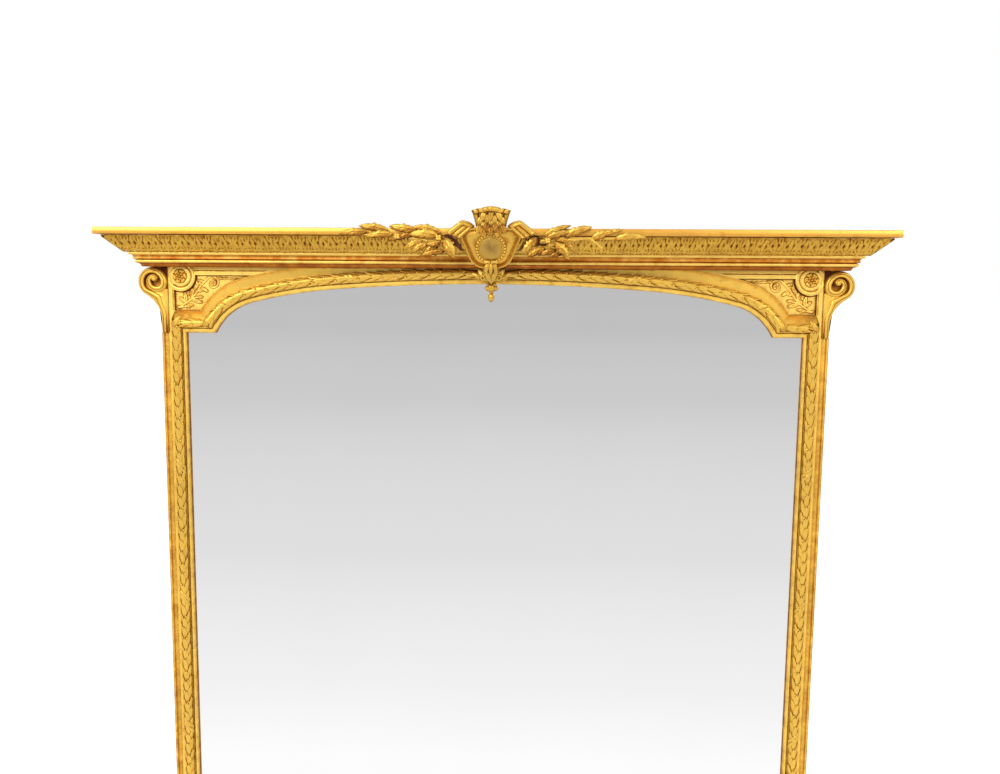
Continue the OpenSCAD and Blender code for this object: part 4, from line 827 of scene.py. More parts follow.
def spiral_path():
    """Outer edge of the band from the foot to the eye as points, their outward directions and the arc
    length: a straight foot, the hollow curve, the tail and the quarter arcs of the volute."""
    def bend(c, r, a0, a1, inward=1):
        n = max(int(abs(a1 - a0) / 4), 3)
        a = np.radians(np.linspace(a0, a1, n))
        d = stacked(np.cos(a), np.sin(a))
        return c + r * d, d * inward
    c = [np.array([body_x + 55 - 35, volute_z])]
    for k in range(1, len(volute_radii)):
        a = np.radians(90 * k)
        c.append(c[-1] + (volute_radii[k - 1] - volute_radii[k]) * np.array([np.cos(a), np.sin(a)]))
    r = volute_radii[0]
    t = np.radians(-60)
    hollow_c = c[0] + (r + foot_r) * np.array([np.cos(t), np.sin(t)])
    foot = stacked(hollow_c[0] - foot_r, np.linspace(0, hollow_c[1], 6))
    pieces = [(foot, np.tile([1.0, 0], (6, 1))), bend(hollow_c, foot_r, 180, 120, -1), bend(c[0], r, -60, 0)]
    first = sum(len(p[0]) - 1 for p in pieces)
    for k, r in enumerate(volute_radii):
        pieces.append(bend(c[k], r, 90 * k, 90 * (k + 1)))
    pts, out = (np.concatenate([pieces[0][i]] + [p[i][1:] for p in pieces[1:]]) for i in (0, 1))
    s = np.concatenate([[0], np.cumsum(np.linalg.norm(np.diff(pts, axis=0), axis=1))])
    return pts, out, np.clip((s - s[first]) / (s[-1] - s[first]), 0, 1)


edge, out, share = spiral_path()
lower = np.interp(edge[:, 1], [0, 27, 46, 62, 69, 74.5, 80, 86, 91, 101, 121],
                  [12.6, 13, 15, 15, 18, 24, 19, 16, 14.5, 14, 15.5])
upper = np.interp(share, [0, 0.25, 0.47, 0.64, 0.82, 1], [15.5, 14.5, 16, 15, 12, 8.5])
wide = np.where(share > 0, upper, lower)
lift = np.interp(share, [0, 0.25, 0.5, 0.82, 1], [0, 1.0, 2.0, 4.0, 5.0])
# band: share of the width inwards from the outer edge, and height; it rides up towards the eye
band = np.array([[0.0, 36], [0.0, 48], [0.03, 52.0], [0.1, 55.0], [0.2, 57.2], [0.3, 58.4], [0.40, 58.6],
                 [0.46, 57.0], [0.52, 58.6], [0.6, 59.3], [0.78, 59.3], [0.9, 58.4], [0.97, 56.6], [1.0, 53],
                 [1.0, 36]])
xz = edge[:, None] - out[:, None] * (wide[:, None] * band[None, :, 0])[..., None]
rise = band[:, 1] + lift[:, None] * (band[:, 1] > 40)
spiral = stacked(xz[..., 0], -rise, np.minimum(xz[..., 1], console_top) + shoulder_z)
# painted shade across the band: deeper at its edges, in the groove and on its back; low down it is painted
# darker towards the foot
spiral_shade = np.array([.6, .3, .2, .12, .06, .03, .08, .55, .12, .02, .02, .08, .35, .7, 1])
to_foot = np.clip(1 - edge[:, 1:] / 44, 0, 1) * (share[:, None] == 0)
parts = [shells(spiral, np.clip(spiral_shade + 0.26 * to_foot, 0, 1))]
# ground under the volute: rings from its eye out to the bracket's outline, sunk, and painted in
# dark shade that deepens upwards
lim = int(np.argmax(edge[:, 1]))
outline = np.concatenate([[[stile_x, 0]], edge[:lim + 1], [[stile_x, edge[lim, 1]]]])
outline = np.minimum(outline, [np.inf, console_top])
mid = np.array([800.0, 100.0])
t = np.array([0, 0.25, 0.45, 0.6, 0.72, 0.82, 0.9, 0.95, 0.965, 0.965])[:, None, None]
ring = mid + (outline - mid) * t
low = 49.5 + 0 * ring[..., 0]
low[-1] = 38.2
rings = stacked(ring[..., 0], -low, ring[..., 1] + shoulder_z)
end = stacked(mid[0] + 0 * outline[:, 0], -38.2, mid[1] + shoulder_z)[None]
tone = np.clip(0.45 + (ring[..., 1] - 105) / 55, 0.35, 0.95)
parts.append(shells(np.concatenate([rings, end]), np.concatenate([tone, tone[-1:]]), ends=False))
# the side behind the band, against the stile's outer face and back to the wall, painted in half shade
behind_x = body_x + 0.2
behind = edge[:lim + 1][edge[:lim + 1, 0] >= behind_x]
behind = np.concatenate([[[behind_x, 0]], behind, [[behind_x, behind[-1, 1]]]])
behind = np.minimum(behind, [np.inf, console_top])
y = np.array([-0.2, -20, -46])[:, None]
parts.append(shells(stacked(behind[:, 0], y, behind[:, 1] + shoulder_z), 0.45))
# the eye, a low dome that the band runs into, painted in shade round its foot
lat = np.linspace(0, np.pi / 2, 8)[:, None]
lon = np.linspace(0, 2 * np.pi, 28, endpoint=False)
eye = stacked(eye_x + eye_r * np.sin(lat) * np.cos(lon), -(52 + 13.0 * np.cos(lat)),
              shoulder_z + eye_z + eye_r * np.sin(lat) * np.sin(lon))
foot = eye[-1:].copy()
foot[..., 1] = -45
base = foot * [0, 1, 0] + [eye_x, 0, shoulder_z + eye_z]
tone = np.concatenate([0.05 + 0.5 * (lat / 1.57) ** 4, [[1], [1]]])
parts.append(shells(np.concatenate([eye, foot, base]), tone, ends=False))
# the flat ground between the tail and the border, running down into the stile's hollow; it is painted
# darker low down and along both edges, as shade
lip_z = np.linspace(0.5, 104, 48)[:, None]
line = edge - out * wide[:, None]
high_x = np.maximum(np.interp(lip_z, line[:lim, 1], line[:lim, 0]) + 2.0, stile_x + 1.0)
high_x = np.minimum(high_x, np.interp(lip_z, [80, 90, 104], [900, 812, 808]))
across = np.linspace(0, 1, 8)
lip_x = 771.6 + (high_x - 771.6) * across
lip_h = np.interp(lip_z, [0, 25, 60, 104], [50.2, 53.0, 55.2, 55.2]) \
    + (1 - np.sin(np.pi * across)) * np.interp(lip_z, [0, 40, 97], [6.5, 2.0, 0.6])
lip_h[:, 0] = np.minimum(lip_h[:, 0], 57.4)
tone = np.interp(lip_z, [0, 30, 60, 97], [0.34, 0.14, 0.02, 0.12]) \
    + 0.35 * (across > 0.9) + 0.25 * (across < 0.05)
parts.append(backed(stacked(lip_x, -lip_h, lip_z + shoulder_z), tone, -46.5))
console_gold = gilding("console_gold", (0.84, 0.52, 0.078), 0.10, 0.36, 0.6, bole=(0.11, 0.018, 0.003))
both_sides("console_scroll", parts, ["console"], console_gold, 45)

# ---- Cornice ----
# Bed moulding of fillet, hollow, bead and deep cove; a sloping moulding of upright acanthus leaves;
# and the plain cap. Each runs along the front and is mitred into short returns.
leaf_pitch = 31.0
slope_low, slope_high = np.array([57.0, 191.0]), np.array([96.5, 227.6])


def cornice_run(section, hollow, side, stations):
    """A section of (projection, z above the shoulder) run along the front (side 0) or the right
    return (side 1), cut to the 45 degree mitre."""
    p, z = section.T
    t = np.linspace(0 if side else -1, 1, stations)[:, None]
    if side:
        return shells(stacked(body_x + p, -(face_h + p) * t, shoulder_z + z), hollow)
    return shells(stacked((body_x + p) * t, -(face_h + p), shoulder_z + z), hollow)


bed = np.concatenate([[[0, 156.5], [30.0, 156.5]], arc(39, 156.5, 8, 175, 92, 10), [[38.9, 165.2]],
                      arc(39, 169, 4, -85, 85, 10), [[39.3, 173.2]], arc(51.5, 178, 6.6, 215, 118, 9),
                      [[52.4, 183.6], [53, 184.4], [53, 190.2], [52.4, 191.0], [0, 191]]])
# Painted shade across the bed moulding: deep on its underside, in the lower cove and the quirk over it, and
# in the upper cove; light on the bead and the fillet
bed_shade = np.interp(np.arange(len(bed)),
                       [0, 1, 2, 6, 11, 12, 14, 17, 21, 22, 23, 27, 31, 32, 33, 34, 35, 36],
                       [.9, .8, .8, .62, .9, 1, .35, .05, .4, .7, .52, .46, .55, .6, .1, .05, .1, .9])
cap = np.array([[85, 228.0], [109.6, 228], [110.6, 228.6], [111, 229.6], [111, 242.2], [110.4, 243.3],
                [109, 243.7], [85, 243.7]])
# Painted shade on the cap: deep on its underside, light on its face
cap_shade = np.array([.9, .5, .3, .1, 0, .1, .1, .3])
bright_gold = gilding("bright_gold", (0.83, 0.425, 0.063), 0.05, 0.32, 0.6, 0.03)
# cove_gold's warm orange and dark bole paint the shade in the bed moulding's coves
cove_gold = gilding("cove_gold", (0.90, 0.60, 0.12), 0.12, 0.35, 0.6, warm=(0.50, 0.16, 0.001),
                    bole=(0.20, 0.035, 0.0005))


def acanthus(x, y, lively):
    """Height of one unit of the leaf moulding over its bed, x across and y up the slope in mm: lobes
    fan out from a foot, with a drilled eye on each side of the middle one, between tall upright leaves
    that the next units share; lively, from -1 to 1, leans the lobes and deepens one eye."""
    def lobe(cx, cy, angle, long, wide, tall):
        a = np.radians(angle + 7 * lively)
        along = ((x - cx) * np.sin(a) + (y - cy) * np.cos(a)) / long
        half = wide * np.sin(np.pi * np.clip(along, 0.03, 0.97)) ** 0.6 * (1 + 0.14 * np.cos(along * 19))
        b = ((x - cx) * np.cos(a) - (y - cy) * np.sin(a)) / half
        return tall * dome(b, 1) * (along > 0) * (along < 1)

    high = [lobe(0, 6, 0, 44, 5.6, 4.4), lobe(-3, 5, -24, 40, 4.8, 3.8), lobe(3, 5, 24, 40, 4.8, 3.8),
            lobe(-4, 3, -58, 22, 4.4, 3.2), lobe(4, 3, 58, 22, 4.4, 3.2), lobe(0, -3, 0, 20, 5.4, 3.6)]
    for edge in (-leaf_pitch / 2, leaf_pitch / 2):
        high += [lobe(edge, -2, 0, 55, 5.0, 4.2), lobe(edge - 1, 20, -20, 32, 3.6, 3.6),
                 lobe(edge + 1, 20, 20, 32, 3.6, 3.6)]
    eyes = 0
    for cx, cy, deep in ((-6.2, 27, 3.0 + 1.2 * lively), (6.4, 30, 2.4 - 1.2 * lively), (0.5, 48, 1.6)):
        eyes = eyes + deep * np.exp(-((x - cx) / 2.0) ** 2 - ((y - cy) / 3.2) ** 2)
    return np.maximum(np.maximum.reduce(high + [1.3 + 0 * x]) - eyes, 0)


def frieze(side, columns=24, rows=34):
    """The sloping leaf moulding as a closed skin: the acanthus unit, repeated every pitch, stands out
    square to the slope, and the ends are pressed onto the mitres."""
    long = body_x + slope_high[0] + 12
    step = leaf_pitch / columns
    v = np.linspace(0, 1, rows)
    s = np.arange(0, face_h + slope_high[0] + 12, step) if side else np.arange(-long, long + step, step)
    s = s[:, None]
    from_mitre = np.abs(s) + (3 if side else 0)
    wander = 1.1 * np.sin(s * 0.071) + 0.8 * np.sin(s * 0.193 + 1)
    lively = np.sin(np.floor(from_mitre / leaf_pitch) * 2.4)
    x, y = np.broadcast_arrays(from_mitre % leaf_pitch - leaf_pitch / 2 + wander * 0.6,
                               v * 54 + 1.2 * np.sin(s * 0.117))
    high = acanthus(x, y, lively)
    # painted shade: deeper in the hollows between the leaves and at the top of the slope, under the cap; the
    # back is dark
    shade = np.clip(0.16 + dips(high, 0.36) + 0.20 * np.clip((v - 0.9) / 0.1, 0, 1), 0.0, 1)
    along = slope_high - slope_low
    up = along / np.linalg.norm(along)
    p, z = (slope_low + along * v[:, None]).T
    p = np.minimum(p + up[1] * high * 0.95, 106.0)
    z = z - up[0] * high * 0.95
    back_p, back_z = np.full((2, len(s), 2), [[[slope_high[0] - 22, slope_low[0] - 14]], [[227.8, 191.2]]])
    p = np.concatenate([p, back_p], 1)
    z = np.clip(np.concatenate([z, back_z], 1), 189.5, 227.9)
    shade = np.concatenate([shade, np.full((len(s), 2), 0.9)], 1)
    if side:
        return shells(stacked(body_x + p, np.maximum(-s, -(face_h + p)), shoulder_z + z), shade)
    return shells(stacked(np.clip(s, -(body_x + p), body_x + p), -(face_h + p), shoulder_z + z), shade)


# frieze_gold is a darker copy of the gold, painted shade for the leaf moulding that faces downwards
frieze_gold = gilding("frieze_gold", (0.69, 0.415, 0.041), 0.12, 0.38, 0.6, 0.1, warm=(0.42, 0.165, 0.006),
                      bole=(0.10, 0.025, 0.001))
carve("bed_front", [cornice_run(bed, bed_shade, 0, 60)], ["bed_moulding"], cove_gold)
carve("leaf_front", [frieze(0)], ["leaf_moulding"], frieze_gold, 50)
carve("cap_front", [cornice_run(cap, cap_shade, 0, 60)], ["cornice_cap"], bright_gold)
ends = [cornice_run(bed, bed_shade, 1, 8), cornice_run(cap, cap_shade, 1, 8), frieze(1)]
for side in ("right", "left"):
    node = [side + "_cornice_return"]
    carve(side + "_return_bed", ends[:1], node, cove_gold)
    carve(side + "_return_cap", ends[1:2], node, bright_gold)
    carve(side + "_return_leaves", ends[2:], node, frieze_gold, 50)
    ends = [mirrored(part) for part in ends]

# ---- Cartouche ----
# The carved shield over the middle of the cornice: a leaning plate, wide at the top and round below,
# with a broad rolled rim, mounted on a block that is cut to the cornice behind it.
cap_face = face_h + 111
on_cap = 169.3  # the backs of the carvings that lie on the cap
cap_top = 243.7
lean = np.radians(18)
shield_mid = np.array([0, -(cap_face + 13), shoulder_z + 221])
disc_drop = 24  # of the disc's centre under the shield's middle


def on_shield(x, up, out):
    """Place of (x across, up the leaning face, out of it) in mm."""
    y = -out * np.cos(lean) - up * np.sin(lean)
    z = up * np.cos(lean) - out * np.sin(lean)
    return stacked(x, shield_mid[1] + y, shield_mid[2] + z)


def on_disc(r, a, out):
    """Place on the shield at radius r and angle a about the disc's centre."""
    return on_shield(r * np.cos(a), r * np.sin(a) - disc_drop, out)


def shield_edge(a):
    """Radius of the shield's outline about the disc's centre at angle a, through points measured on
    the front view: a straight top, shoulders under the ears, sides that draw in and a round foot."""
    x = np.array([0, 16, 32, 46, 59, 66.5, 68, 65.5, 61, 56.5, 52, 49, 43.5, 35, 26, 14, 0])
    z = np.array([243, 243, 243, 242, 239, 233, 226, 218, 209, 199, 187, 179, 169.5, 161.5, 157.5, 155.4,
                  155])
    up = (z - 221) / np.cos(lean) + disc_drop
    ang, rad = np.arctan2(up, x), np.hypot(up, x)
    order = np.argsort(ang)
    return np.interp(np.arctan2(np.sin(a), np.abs(np.cos(a))), ang[order], rad[order])


a = np.linspace(0, 2 * np.pi, 180, endpoint=False)
# the third column is painted shade: light on the rim, deeper in the shield's hollow and behind it
profile = np.array([  # share of the way out, height in mm, depth of tone
    [0.0, -4.0, .4], [0.30, -4.0, .4], [0.44, -4.2, .5], [0.54, -4.0, .45], [0.61, -2.6, .2],
    [0.68, -1.0, .06], [0.75, -1.0, .12], [0.81, -2.8, .42], [0.86, -4.2, .58], [0.89, -4.0, .5],
    [0.915, -1.0, .2], [0.945, 1.8, .0], [0.975, 1.8, .0], [0.994, 0.2, .15], [1.0, -2.0, .5],
    [0.995, -6, .9], [0.96, -11, 1.0]])
top = on_disc(profile[:, :1] * shield_edge(a), a, profile[:, 1:2])
end = on_shield(0 * a, -disc_drop, -11)[None]
parts = [shells(np.concatenate([top, end]), np.concatenate([profile[:, 2:3], [[1]]]), ends=False)]
block = np.array([[on_cap, 241.7], [on_cap, 227.5], [160, 225.5], [119, 190], [111.3, 190], [111.3, 170.5],
                  [146, 164.5], [155, 169], [176, 241.7]])
x = np.array([-34.0, -30, 30, 34])[:, None]
inset = np.array([2.0, 0, 0, 2])[:, None, None]
loop = block + (block.mean(0) - block) * inset / 60
# the block behind the shield is painted in deep shade
parts.append(shells(stacked(x, -loop[..., 0], loop[..., 1] + shoulder_z), 0.8))
crest_gold = gilding("crest_gold", (0.72, 0.43, 0.06), 0.12, 0.36, 0.62, 0.1, warm=(0.40, 0.155, 0.006),
                     bole=(0.07, 0.016, 0.002))
carve("cartouche_shield", parts, ["cartouche"], crest_gold, 45)

# ---- Disc and beads ----
# A dished round boss of gilt wood in the middle of the shield, with a ring of small carved beads
# round it.
a = np.linspace(0, 2 * np.pi, 96, endpoint=False)
# rows of radius, height and painted shade: the dish's shade deepens towards its middle, and the beads are
# painted dark at their backs and on their bed
rings = np.array([[0, -1.6, .42], [5, -1.3, .36], [12, -0.4, .22], [18, 0.8, .12], [22, 1.2, .06],
                  [24.0, 1.2, .05], [25.0, 0.4, .10], [25.6, -1.0, .14], [25.6, -5, 1], [0, -5, 1]])
disc = shells(on_disc(rings[:, :1], a, rings[:, 1:2]), rings[:, 2:3], ends=False)
disc_gold = gilding("disc_gold", (0.50, 0.30, 0.05), 0.16, 0.42, 0.6, warm=(0.26, 0.14, 0.03))
carve("dished_disc", [disc], ["cartouche_disc"], disc_gold, 40)
lat = np.linspace(0, np.pi, 9)[:, None]
lon = np.linspace(0, 2 * np.pi, 14, endpoint=False)
bead_count, ring_r, bead_r = 28, 31.2, 3.2
k = np.arange(bead_count)[:, None, None] * 2 * np.pi / bead_count
reach = ring_r + bead_r * np.sin(lat) * np.cos(lon)
side = bead_r * np.sin(lat) * np.sin(lon)
beads = on_shield(reach * np.cos(k) - side * np.sin(k), reach * np.sin(k) + side * np.cos(k) - disc_drop,
                  -0.8 + bead_r * np.cos(lat))
rings = np.array([[25.7, -4.5, 1], [25.7, -1.0, .14], [27, -1.2, .22], [29, -1.4, .4], [34, -1.4, .4],
                  [34.8, -2, .4], [35, -4.5, 1], [25.7, -4.5, 1]])
bead_bed = shells(on_disc(rings[:, :1], a, rings[:, 1:2]), rings[:, 2:3], ends=False)
carve("bead_string", [shells(beads, 0.35 - 0.6 * np.cos(lat), ends=False), bead_bed], ["bead_ring"],
      crest_gold, 50)

# ---- Palmette ----
# A carved fan above the shield that curls forwards at its top and is fluted at its edges, with six
# rows of small leaves that hang over its middle and the shield's top.
foot_z = shoulder_z + cap_top + 1.0


def palmette():
    """Skin over t (0 at the foot to 1 at the end of the curl) and q (-1 to 1 across). The fan widens as
    it rises and rolls over forwards; its top is a low arch of three lobes, and its sides are fluted."""
    t = np.linspace(0, 1, 54)[:, None]
    q = np.linspace(-1, 1, 120)
    half = np.interp(t, [0, 0.16, 0.34, 0.52, 0.7, 0.8, 1], [36, 33.5, 35.5, 39.5, 43, 43.5, 38])
    flute = np.abs(np.cos(q * 3.5 * np.pi)) ** 0.6
    edge = np.clip((np.abs(q) - 0.55) / 0.12, 0, 1)
    tall = 1 - 0.19 * np.abs(q) ** 1.45 - 0.035 * near(np.abs(q) - 0.52, 0.07)
    steps = [0, 0.18, 0.38, 0.54, 0.66, 0.74, 0.82, 0.9, 1.0]
    up = np.interp(t, steps, [-10, 3, 20, 34, 42.6, 46.0, 45.4, 42, 36])
    out = np.interp(t, steps, [2, 3, 5.5, 8.5, 11.5, 15.5, 19.5, 21.5, 21])
    rib = flute * (1.2 + 2.2 * edge) * np.interp(t, [0, 0.2, 0.6, 1], [0.3, 1, 1.1, 0.8])
    x = q * half
    y = out * (1 - 0.3 * q ** 2) + rib
    z = np.where(up > 0, up * tall, up)
    thick = np.interp(t, [0, 0.5, 0.75, 1], [3, 5, 4, 3])
    drop = np.interp(t, [0, .6, .8, 1], [0, 1, 4, 2])
    inner = stacked(x * 0.97, np.maximum(y - thick - rib, 0.6), z - drop)
    rows = np.concatenate([stacked(x, y, z), inner[:, ::-1]], 1) * [1, -1, 1] + [0, -on_cap, foot_z]
    # painted shade: deep in the flutes, more at the fan's fluted edges, and towards its foot; the inside is
    # dark
    shade = np.clip((0.75 - 0.75 * flute) * (0.4 + 0.6 * edge) + 0.25 * (1 - t) ** 2 + 0.10, 0.02, 1)
    return shells(rows, np.concatenate([shade, np.full_like(shade, 0.7)], 1))


parts = [palmette()]
# rows of small leaves that hang one over another down the middle of the fan
for count, spread, up, out, length, wide in (
        (3, 30, 38, 17.5, 22, 15), (4, 44, 28.0, 14, 21, 15), (3, 30, 18, 12, 20, 15),
        (4, 50, 9, 21.0, 19, 17), (3, 32, 2, 22.0, 17, 17), (3, 26, -5, 21.5, 13, 14)):
    for k in range(count):
        q = (k - (count - 1) / 2) / ((count - 1) / 2)
        jig = np.sin(k * 2.4 + up * 1.3)
        long = length * (1.1 + 0.12 * jig)
        skin, tone = blade(long, wide - 1.5, 1.5, rows=11, across=9, bow=0.9, teeth=0.3)
        place = [q * spread / 2 + jig, -(on_cap + out + 0.5 * jig), foot_z + up - 3.5 * q * q + 1.2 * jig]
        skin = turned(skin, 180 - q * 16 + 7 * jig, -8) + place
        # the leaves keep the blade's painted shade, varied a little, and the three lowest rows are darker
        tone = tone * 0.9 + 0.12 * jig + (0.3 if up < 12 else 0.0)
        parts.append(shells(skin, np.clip(tone, 0, 1), ends=False))
carve("palmette_fan", parts, ["palmette"], crest_gold, 50)

# ---- Scroll ears ----
# The shield's upper corners roll over into two short fluted scrolls, carved of the same wood, whose
# backs lie against the cap.
slope = np.radians(38)
off_cap = on_cap + 0.1


def ear():
    """Skin over t along the ear and s across it, by e and w on axes that lie along and across the
    scroll, and its front. Across, a broad bead, a sunk panel and a narrow ridge; the low end is cut
    slanting, and the high end rolls over and runs down to the foot of the palmette."""
    t = np.concatenate([[0, 0.01], np.linspace(0.03, 0.62, 16), np.linspace(0.66, 1, 16)])[:, None]
    s = np.linspace(0, 1, 44)[None]
    e_low = -22 + 16 * s ** 1.3
    e_high = 21 + 15 * np.sin(s * np.pi / 2) ** 0.8
    e = e_low + (e_high - e_low) * t
    w = -13.5 + t + (31.5 - 3.5 * t) * s
    bead = 9.0 * dome(s - 0.2, 0.21) ** 0.9
    ridge = 5.5 * dome(s - 0.86, 0.13)
    panel = 1.6 + 0.8 * np.cos((s - 0.6) * 9)
    tall = np.maximum.reduce([bead * (s < 0.42), ridge * (s > 0.72), panel * (s > 0.3) * (s < 0.9)])
    close = np.clip((t - 0.66) / 0.10, 0, 1)
    close = close * close * (3 - 2 * close)
    tall = tall * (1 - close) + np.maximum(tall, 8.5 - 12 * (s - 0.25) ** 2) * close
    drop = 1 - dome(np.clip(t - 0.72, 0, 1), 0.285)
    front = (15.5 + tall + 1.2 * near(t - 0.04, 0.03)) * (1 - (0.45 + 0.3 * (1 - s)) * drop)
    front = np.where((s < 0.004) | (s > 0.996), np.minimum(front, 6), front)
    # painted shade: dark lines at the panel's edges, a darker panel, a dark outer rim and cut low end, and
    # shade deepening over the rolled top end
    groove = near(s - 0.425, 0.03) + near(s - 0.72, 0.03)
    tone = np.clip(0.05 + 0.7 * groove * (1 - close) + 0.22 * (s > 0.44) * (s < 0.74) * (1 - close)
                   + 0.6 * (s > 0.985) + 0.4 * (t < 0.005) + 0.45 * close * s ** 1.5, 0, 1)
    x = 74 - e * np.cos(slope) - w * np.sin(slope)
    z = 238 + e * np.sin(slope) - w * np.cos(slope)
    return backed(stacked(x, -(off_cap + front), shoulder_z + z), tone, -off_cap)


both_sides("ear_roll", [ear()], ["scroll_ear"], crest_gold, 45)

# ---- Laurel sprays ----
# A carved spray on each side of the shield: long toothed leaves with midribs along a twig, and
# berries, lying over the cap and the leaf moulding.
def tube(line, r, sides=10):
    """A round rod of radius r (one per point) along a polyline, as a closed skin."""
    line = np.asarray(line, float)
    d = np.gradient(line, axis=0)
    d /= np.linalg.norm(d, axis=1, keepdims=True)
    u = np.cross(d, [0.0, 1.0, 0.0])
    u /= np.linalg.norm(u, axis=1, keepdims=True)
    v = np.cross(d, u)
    a = np.linspace(0, 2 * np.pi, sides, endpoint=False)
    r = np.broadcast_to(r, len(line))[:, None, None]
    return line[:, None] + r * (u[:, None] * np.cos(a)[:, None] + v[:, None] * np.sin(a)[:, None])


def ball(centre, r, tone=0.3, tall=1.0):
    """A round or drawn-out berry, painted in shade underneath and at its back."""
    lat = np.linspace(0, np.pi, 9)[:, None]
    lon = np.linspace(0, 2 * np.pi, 14, endpoint=False)[None]
    p = stacked(r * np.sin(lat) * np.cos(lon), -r * np.cos(lat), tall * r * np.sin(lat) * np.sin(lon))
    under = np.clip(-np.sin(lat) * np.sin(lon) - 0.4, 0, 1) * 2.0
    return shells(p + centre, np.clip(tone - 0.5 * np.cos(lat) + under, 0, 1), ends=False)


def spray(leaves, berries, twigs, gap):
    """leaves: base x, z, tip x, z (mm, z above the shoulder), width, height in front of the cap's face,
    bend upwards and painted shade; berries: x, z, height; twigs: rows of x, z, height; gap: the outline
    (x, z) of a dark sheet beside the shield that stands in for the shadow there."""
    parts, bright = [], []
    for x, z, tip_x, tip_z, wide, high, bend, dull in leaves:
        length = np.hypot(tip_x - x, tip_z - z)
        outward = np.sign(tip_x - x)
        skin, tone = blade(length, wide, 3.0, rows=26, across=11, teeth=0.38, bow=4.0, bend=-bend * outward)
        # each leaf's painted shade: the blade's own, the listed shade in dull, darker on its lower half, and
        # a varied mottle
        b = np.concatenate([np.linspace(-1, 1, 11), np.linspace(0.8, -0.8, 9)])[None] * outward
        tone = tone + dull + 0.06 + 0.32 * b \
            + 0.2 * np.sin(skin[..., 2] * 0.55 + skin[..., 0] * 0.6) * np.sin(skin[..., 2] * 0.23)
        place = [x, -(cap_face + high), shoulder_z + z]
        skin = turned(skin, np.degrees(np.arctan2(tip_x - x, tip_z - z))) + place
        skin[..., 1] = np.minimum(skin[..., 1], -on_cap)
        parts.append(shells(skin, np.clip(tone, 0, 1), ends=False))
    # berries and twigs are painted bright, as highlights
    for x, z, high in berries:
        for dx, dz in ((-2.4, 2.2), (2.6, 2.4), (-2.2, -2.4), (2.6, -2.4)):
            bright.append(ball([x + dx, -(cap_face + high), shoulder_z + z + dz], 4.0, -0.2))
    for line in twigs:
        line = np.array(line, float)
        t = np.linspace(0, len(line) - 1, len(line) * 5)
        x, z, high = (np.interp(t, np.arange(len(line)), column) for column in line.T)
        pts = stacked(x, -(cap_face + high), shoulder_z + z)
        bright.append(shells(tube(pts, np.linspace(3.2, 2.4, len(pts))), 0.05))
    # a dark sheet in full painted shade, standing in for the shadow between the leaves and the shield
    gap = np.array(gap, float)
    gap = stacked(gap[:, 0], -off_cap, shoulder_z + gap[:, 1])
    parts.append(shells(np.stack([gap + [0, 1.0, 0], gap - [0, 1.6, 0]]), 1.0))
    return parts, bright


right_leaves = [
    (114, 226, 178, 250.5, 17, 5, 3, .0), (162, 227, 223, 247, 23, 7, 2, .02),
    (120, 221, 175, 237, 18, 10, 2, .15), (220, 219, 272, 238, 23, 4, 3, .08),
    (262, 237, 290, 242, 11, 6, 0, -.2), (272, 221, 342, 225, 21, 6, 4, -.05),
    (137, 214, 173, 175, 25, 8, 4, .08), (150, 219, 186, 189, 14, 6, 5, .1),
    (140, 219, 183, 207, 15, 9, 4, .2), (122, 205, 143, 209, 9, 13, 0, -.3),
    (104, 223, 70, 188, 25, 4, 2, .1), (122, 200, 80, 181, 20, 3, 2, .25),
    (146, 196, 104, 184, 17, 2, 2, .3), (158, 188, 124, 180, 13, 1, 2, .35)]
right_twigs = [
    [(110, 216, 4), (150, 220, 6), (182, 218.5, 11), (206, 222, 12), (218, 222.5, 12), (246, 201, 5)],
    [(176, 222, 7), (230, 222, 4), (300, 223, 3)]]
right_shadow_sheet = [(60, 194), (68, 197), (88, 214), (98, 219), (104, 206), (142, 204), (140, 210), (109, 211),
             (106, 226), (96, 229), (72, 214)]
left_leaves = [
    (-227, 237, -295, 247, 21, 6, 3, .15), (-164, 237, -227, 247, 23, 7, 1, .12),
    (-109, 231, -179, 244, 20, 6, 6, .08), (-116, 225, -182, 229, 25, 10, 4, -.02),
    (-216, 228, -281, 223, 20, 8, 4, .08), (-274, 234, -340, 230, 20, 5, 2, .15),
    (-150, 215, -193, 196, 17, 10, 4, .0), (-140, 209, -177, 188, 19, 9, 3, .06),
    (-109, 215, -144, 208, 16, 12, -3, .1), (-104, 222, -82, 178, 32, 4, 0, .12),
    (-102, 193, -160, 182, 18, 3, 2, .25), (-172, 229, -210, 219, 18, 6, 2, .4),
    (-186, 224, -232, 214, 14, 4, 2, .4), (-116, 203, -152, 190, 16, 4, 2, .25)]
left_twigs = [[(-100, 214, 4), (-140, 216, 6), (-186, 222, 5), (-236, 226, 4), (-300, 230, 3)]]
left_shadow_sheet = [(-58, 192), (-68, 194), (-84, 209), (-103, 222), (-104, 229), (-96, 230), (-74, 216)]
for side, leaves, berries, twigs, gap in (
        ("right", right_leaves, [(125, 217, 16)], right_twigs, right_shadow_sheet),
        ("left", left_leaves, [(-208, 225, 15), (-116, 222, 17)], left_twigs, left_shadow_sheet)):
    parts, bright = spray(leaves, berries, twigs, gap)
    carve(side + "_spray_leaves", parts, [side + "_laurel_spray"], crest_gold, 50)
    # the berries and twigs take the lighter carved gold, as painted highlight
    carve(side + "_spray_berries", bright, [side + "_laurel_spray"], carved_gold, 50)

# ---- Pendant ----
# Under the shield a leafy husk runs back over the arch, with a tie over the shield's rim and a small
# curl on each side, and ends in a drop of berries that hangs in front of the glass.
husk_seat = garland_h + head_r + 0.3
stem = np.array([[0, -157, 150.0], [0, -146, 149], [0, -118, 147], [0, -88, 143], [0, -70, 137.5],
                 [0, -67, 132]])
t = np.linspace(0, 5, 22)
stem = stacked(*(np.interp(t, np.arange(6), column) for column in stem.T)) + [0, 0, shoulder_z]
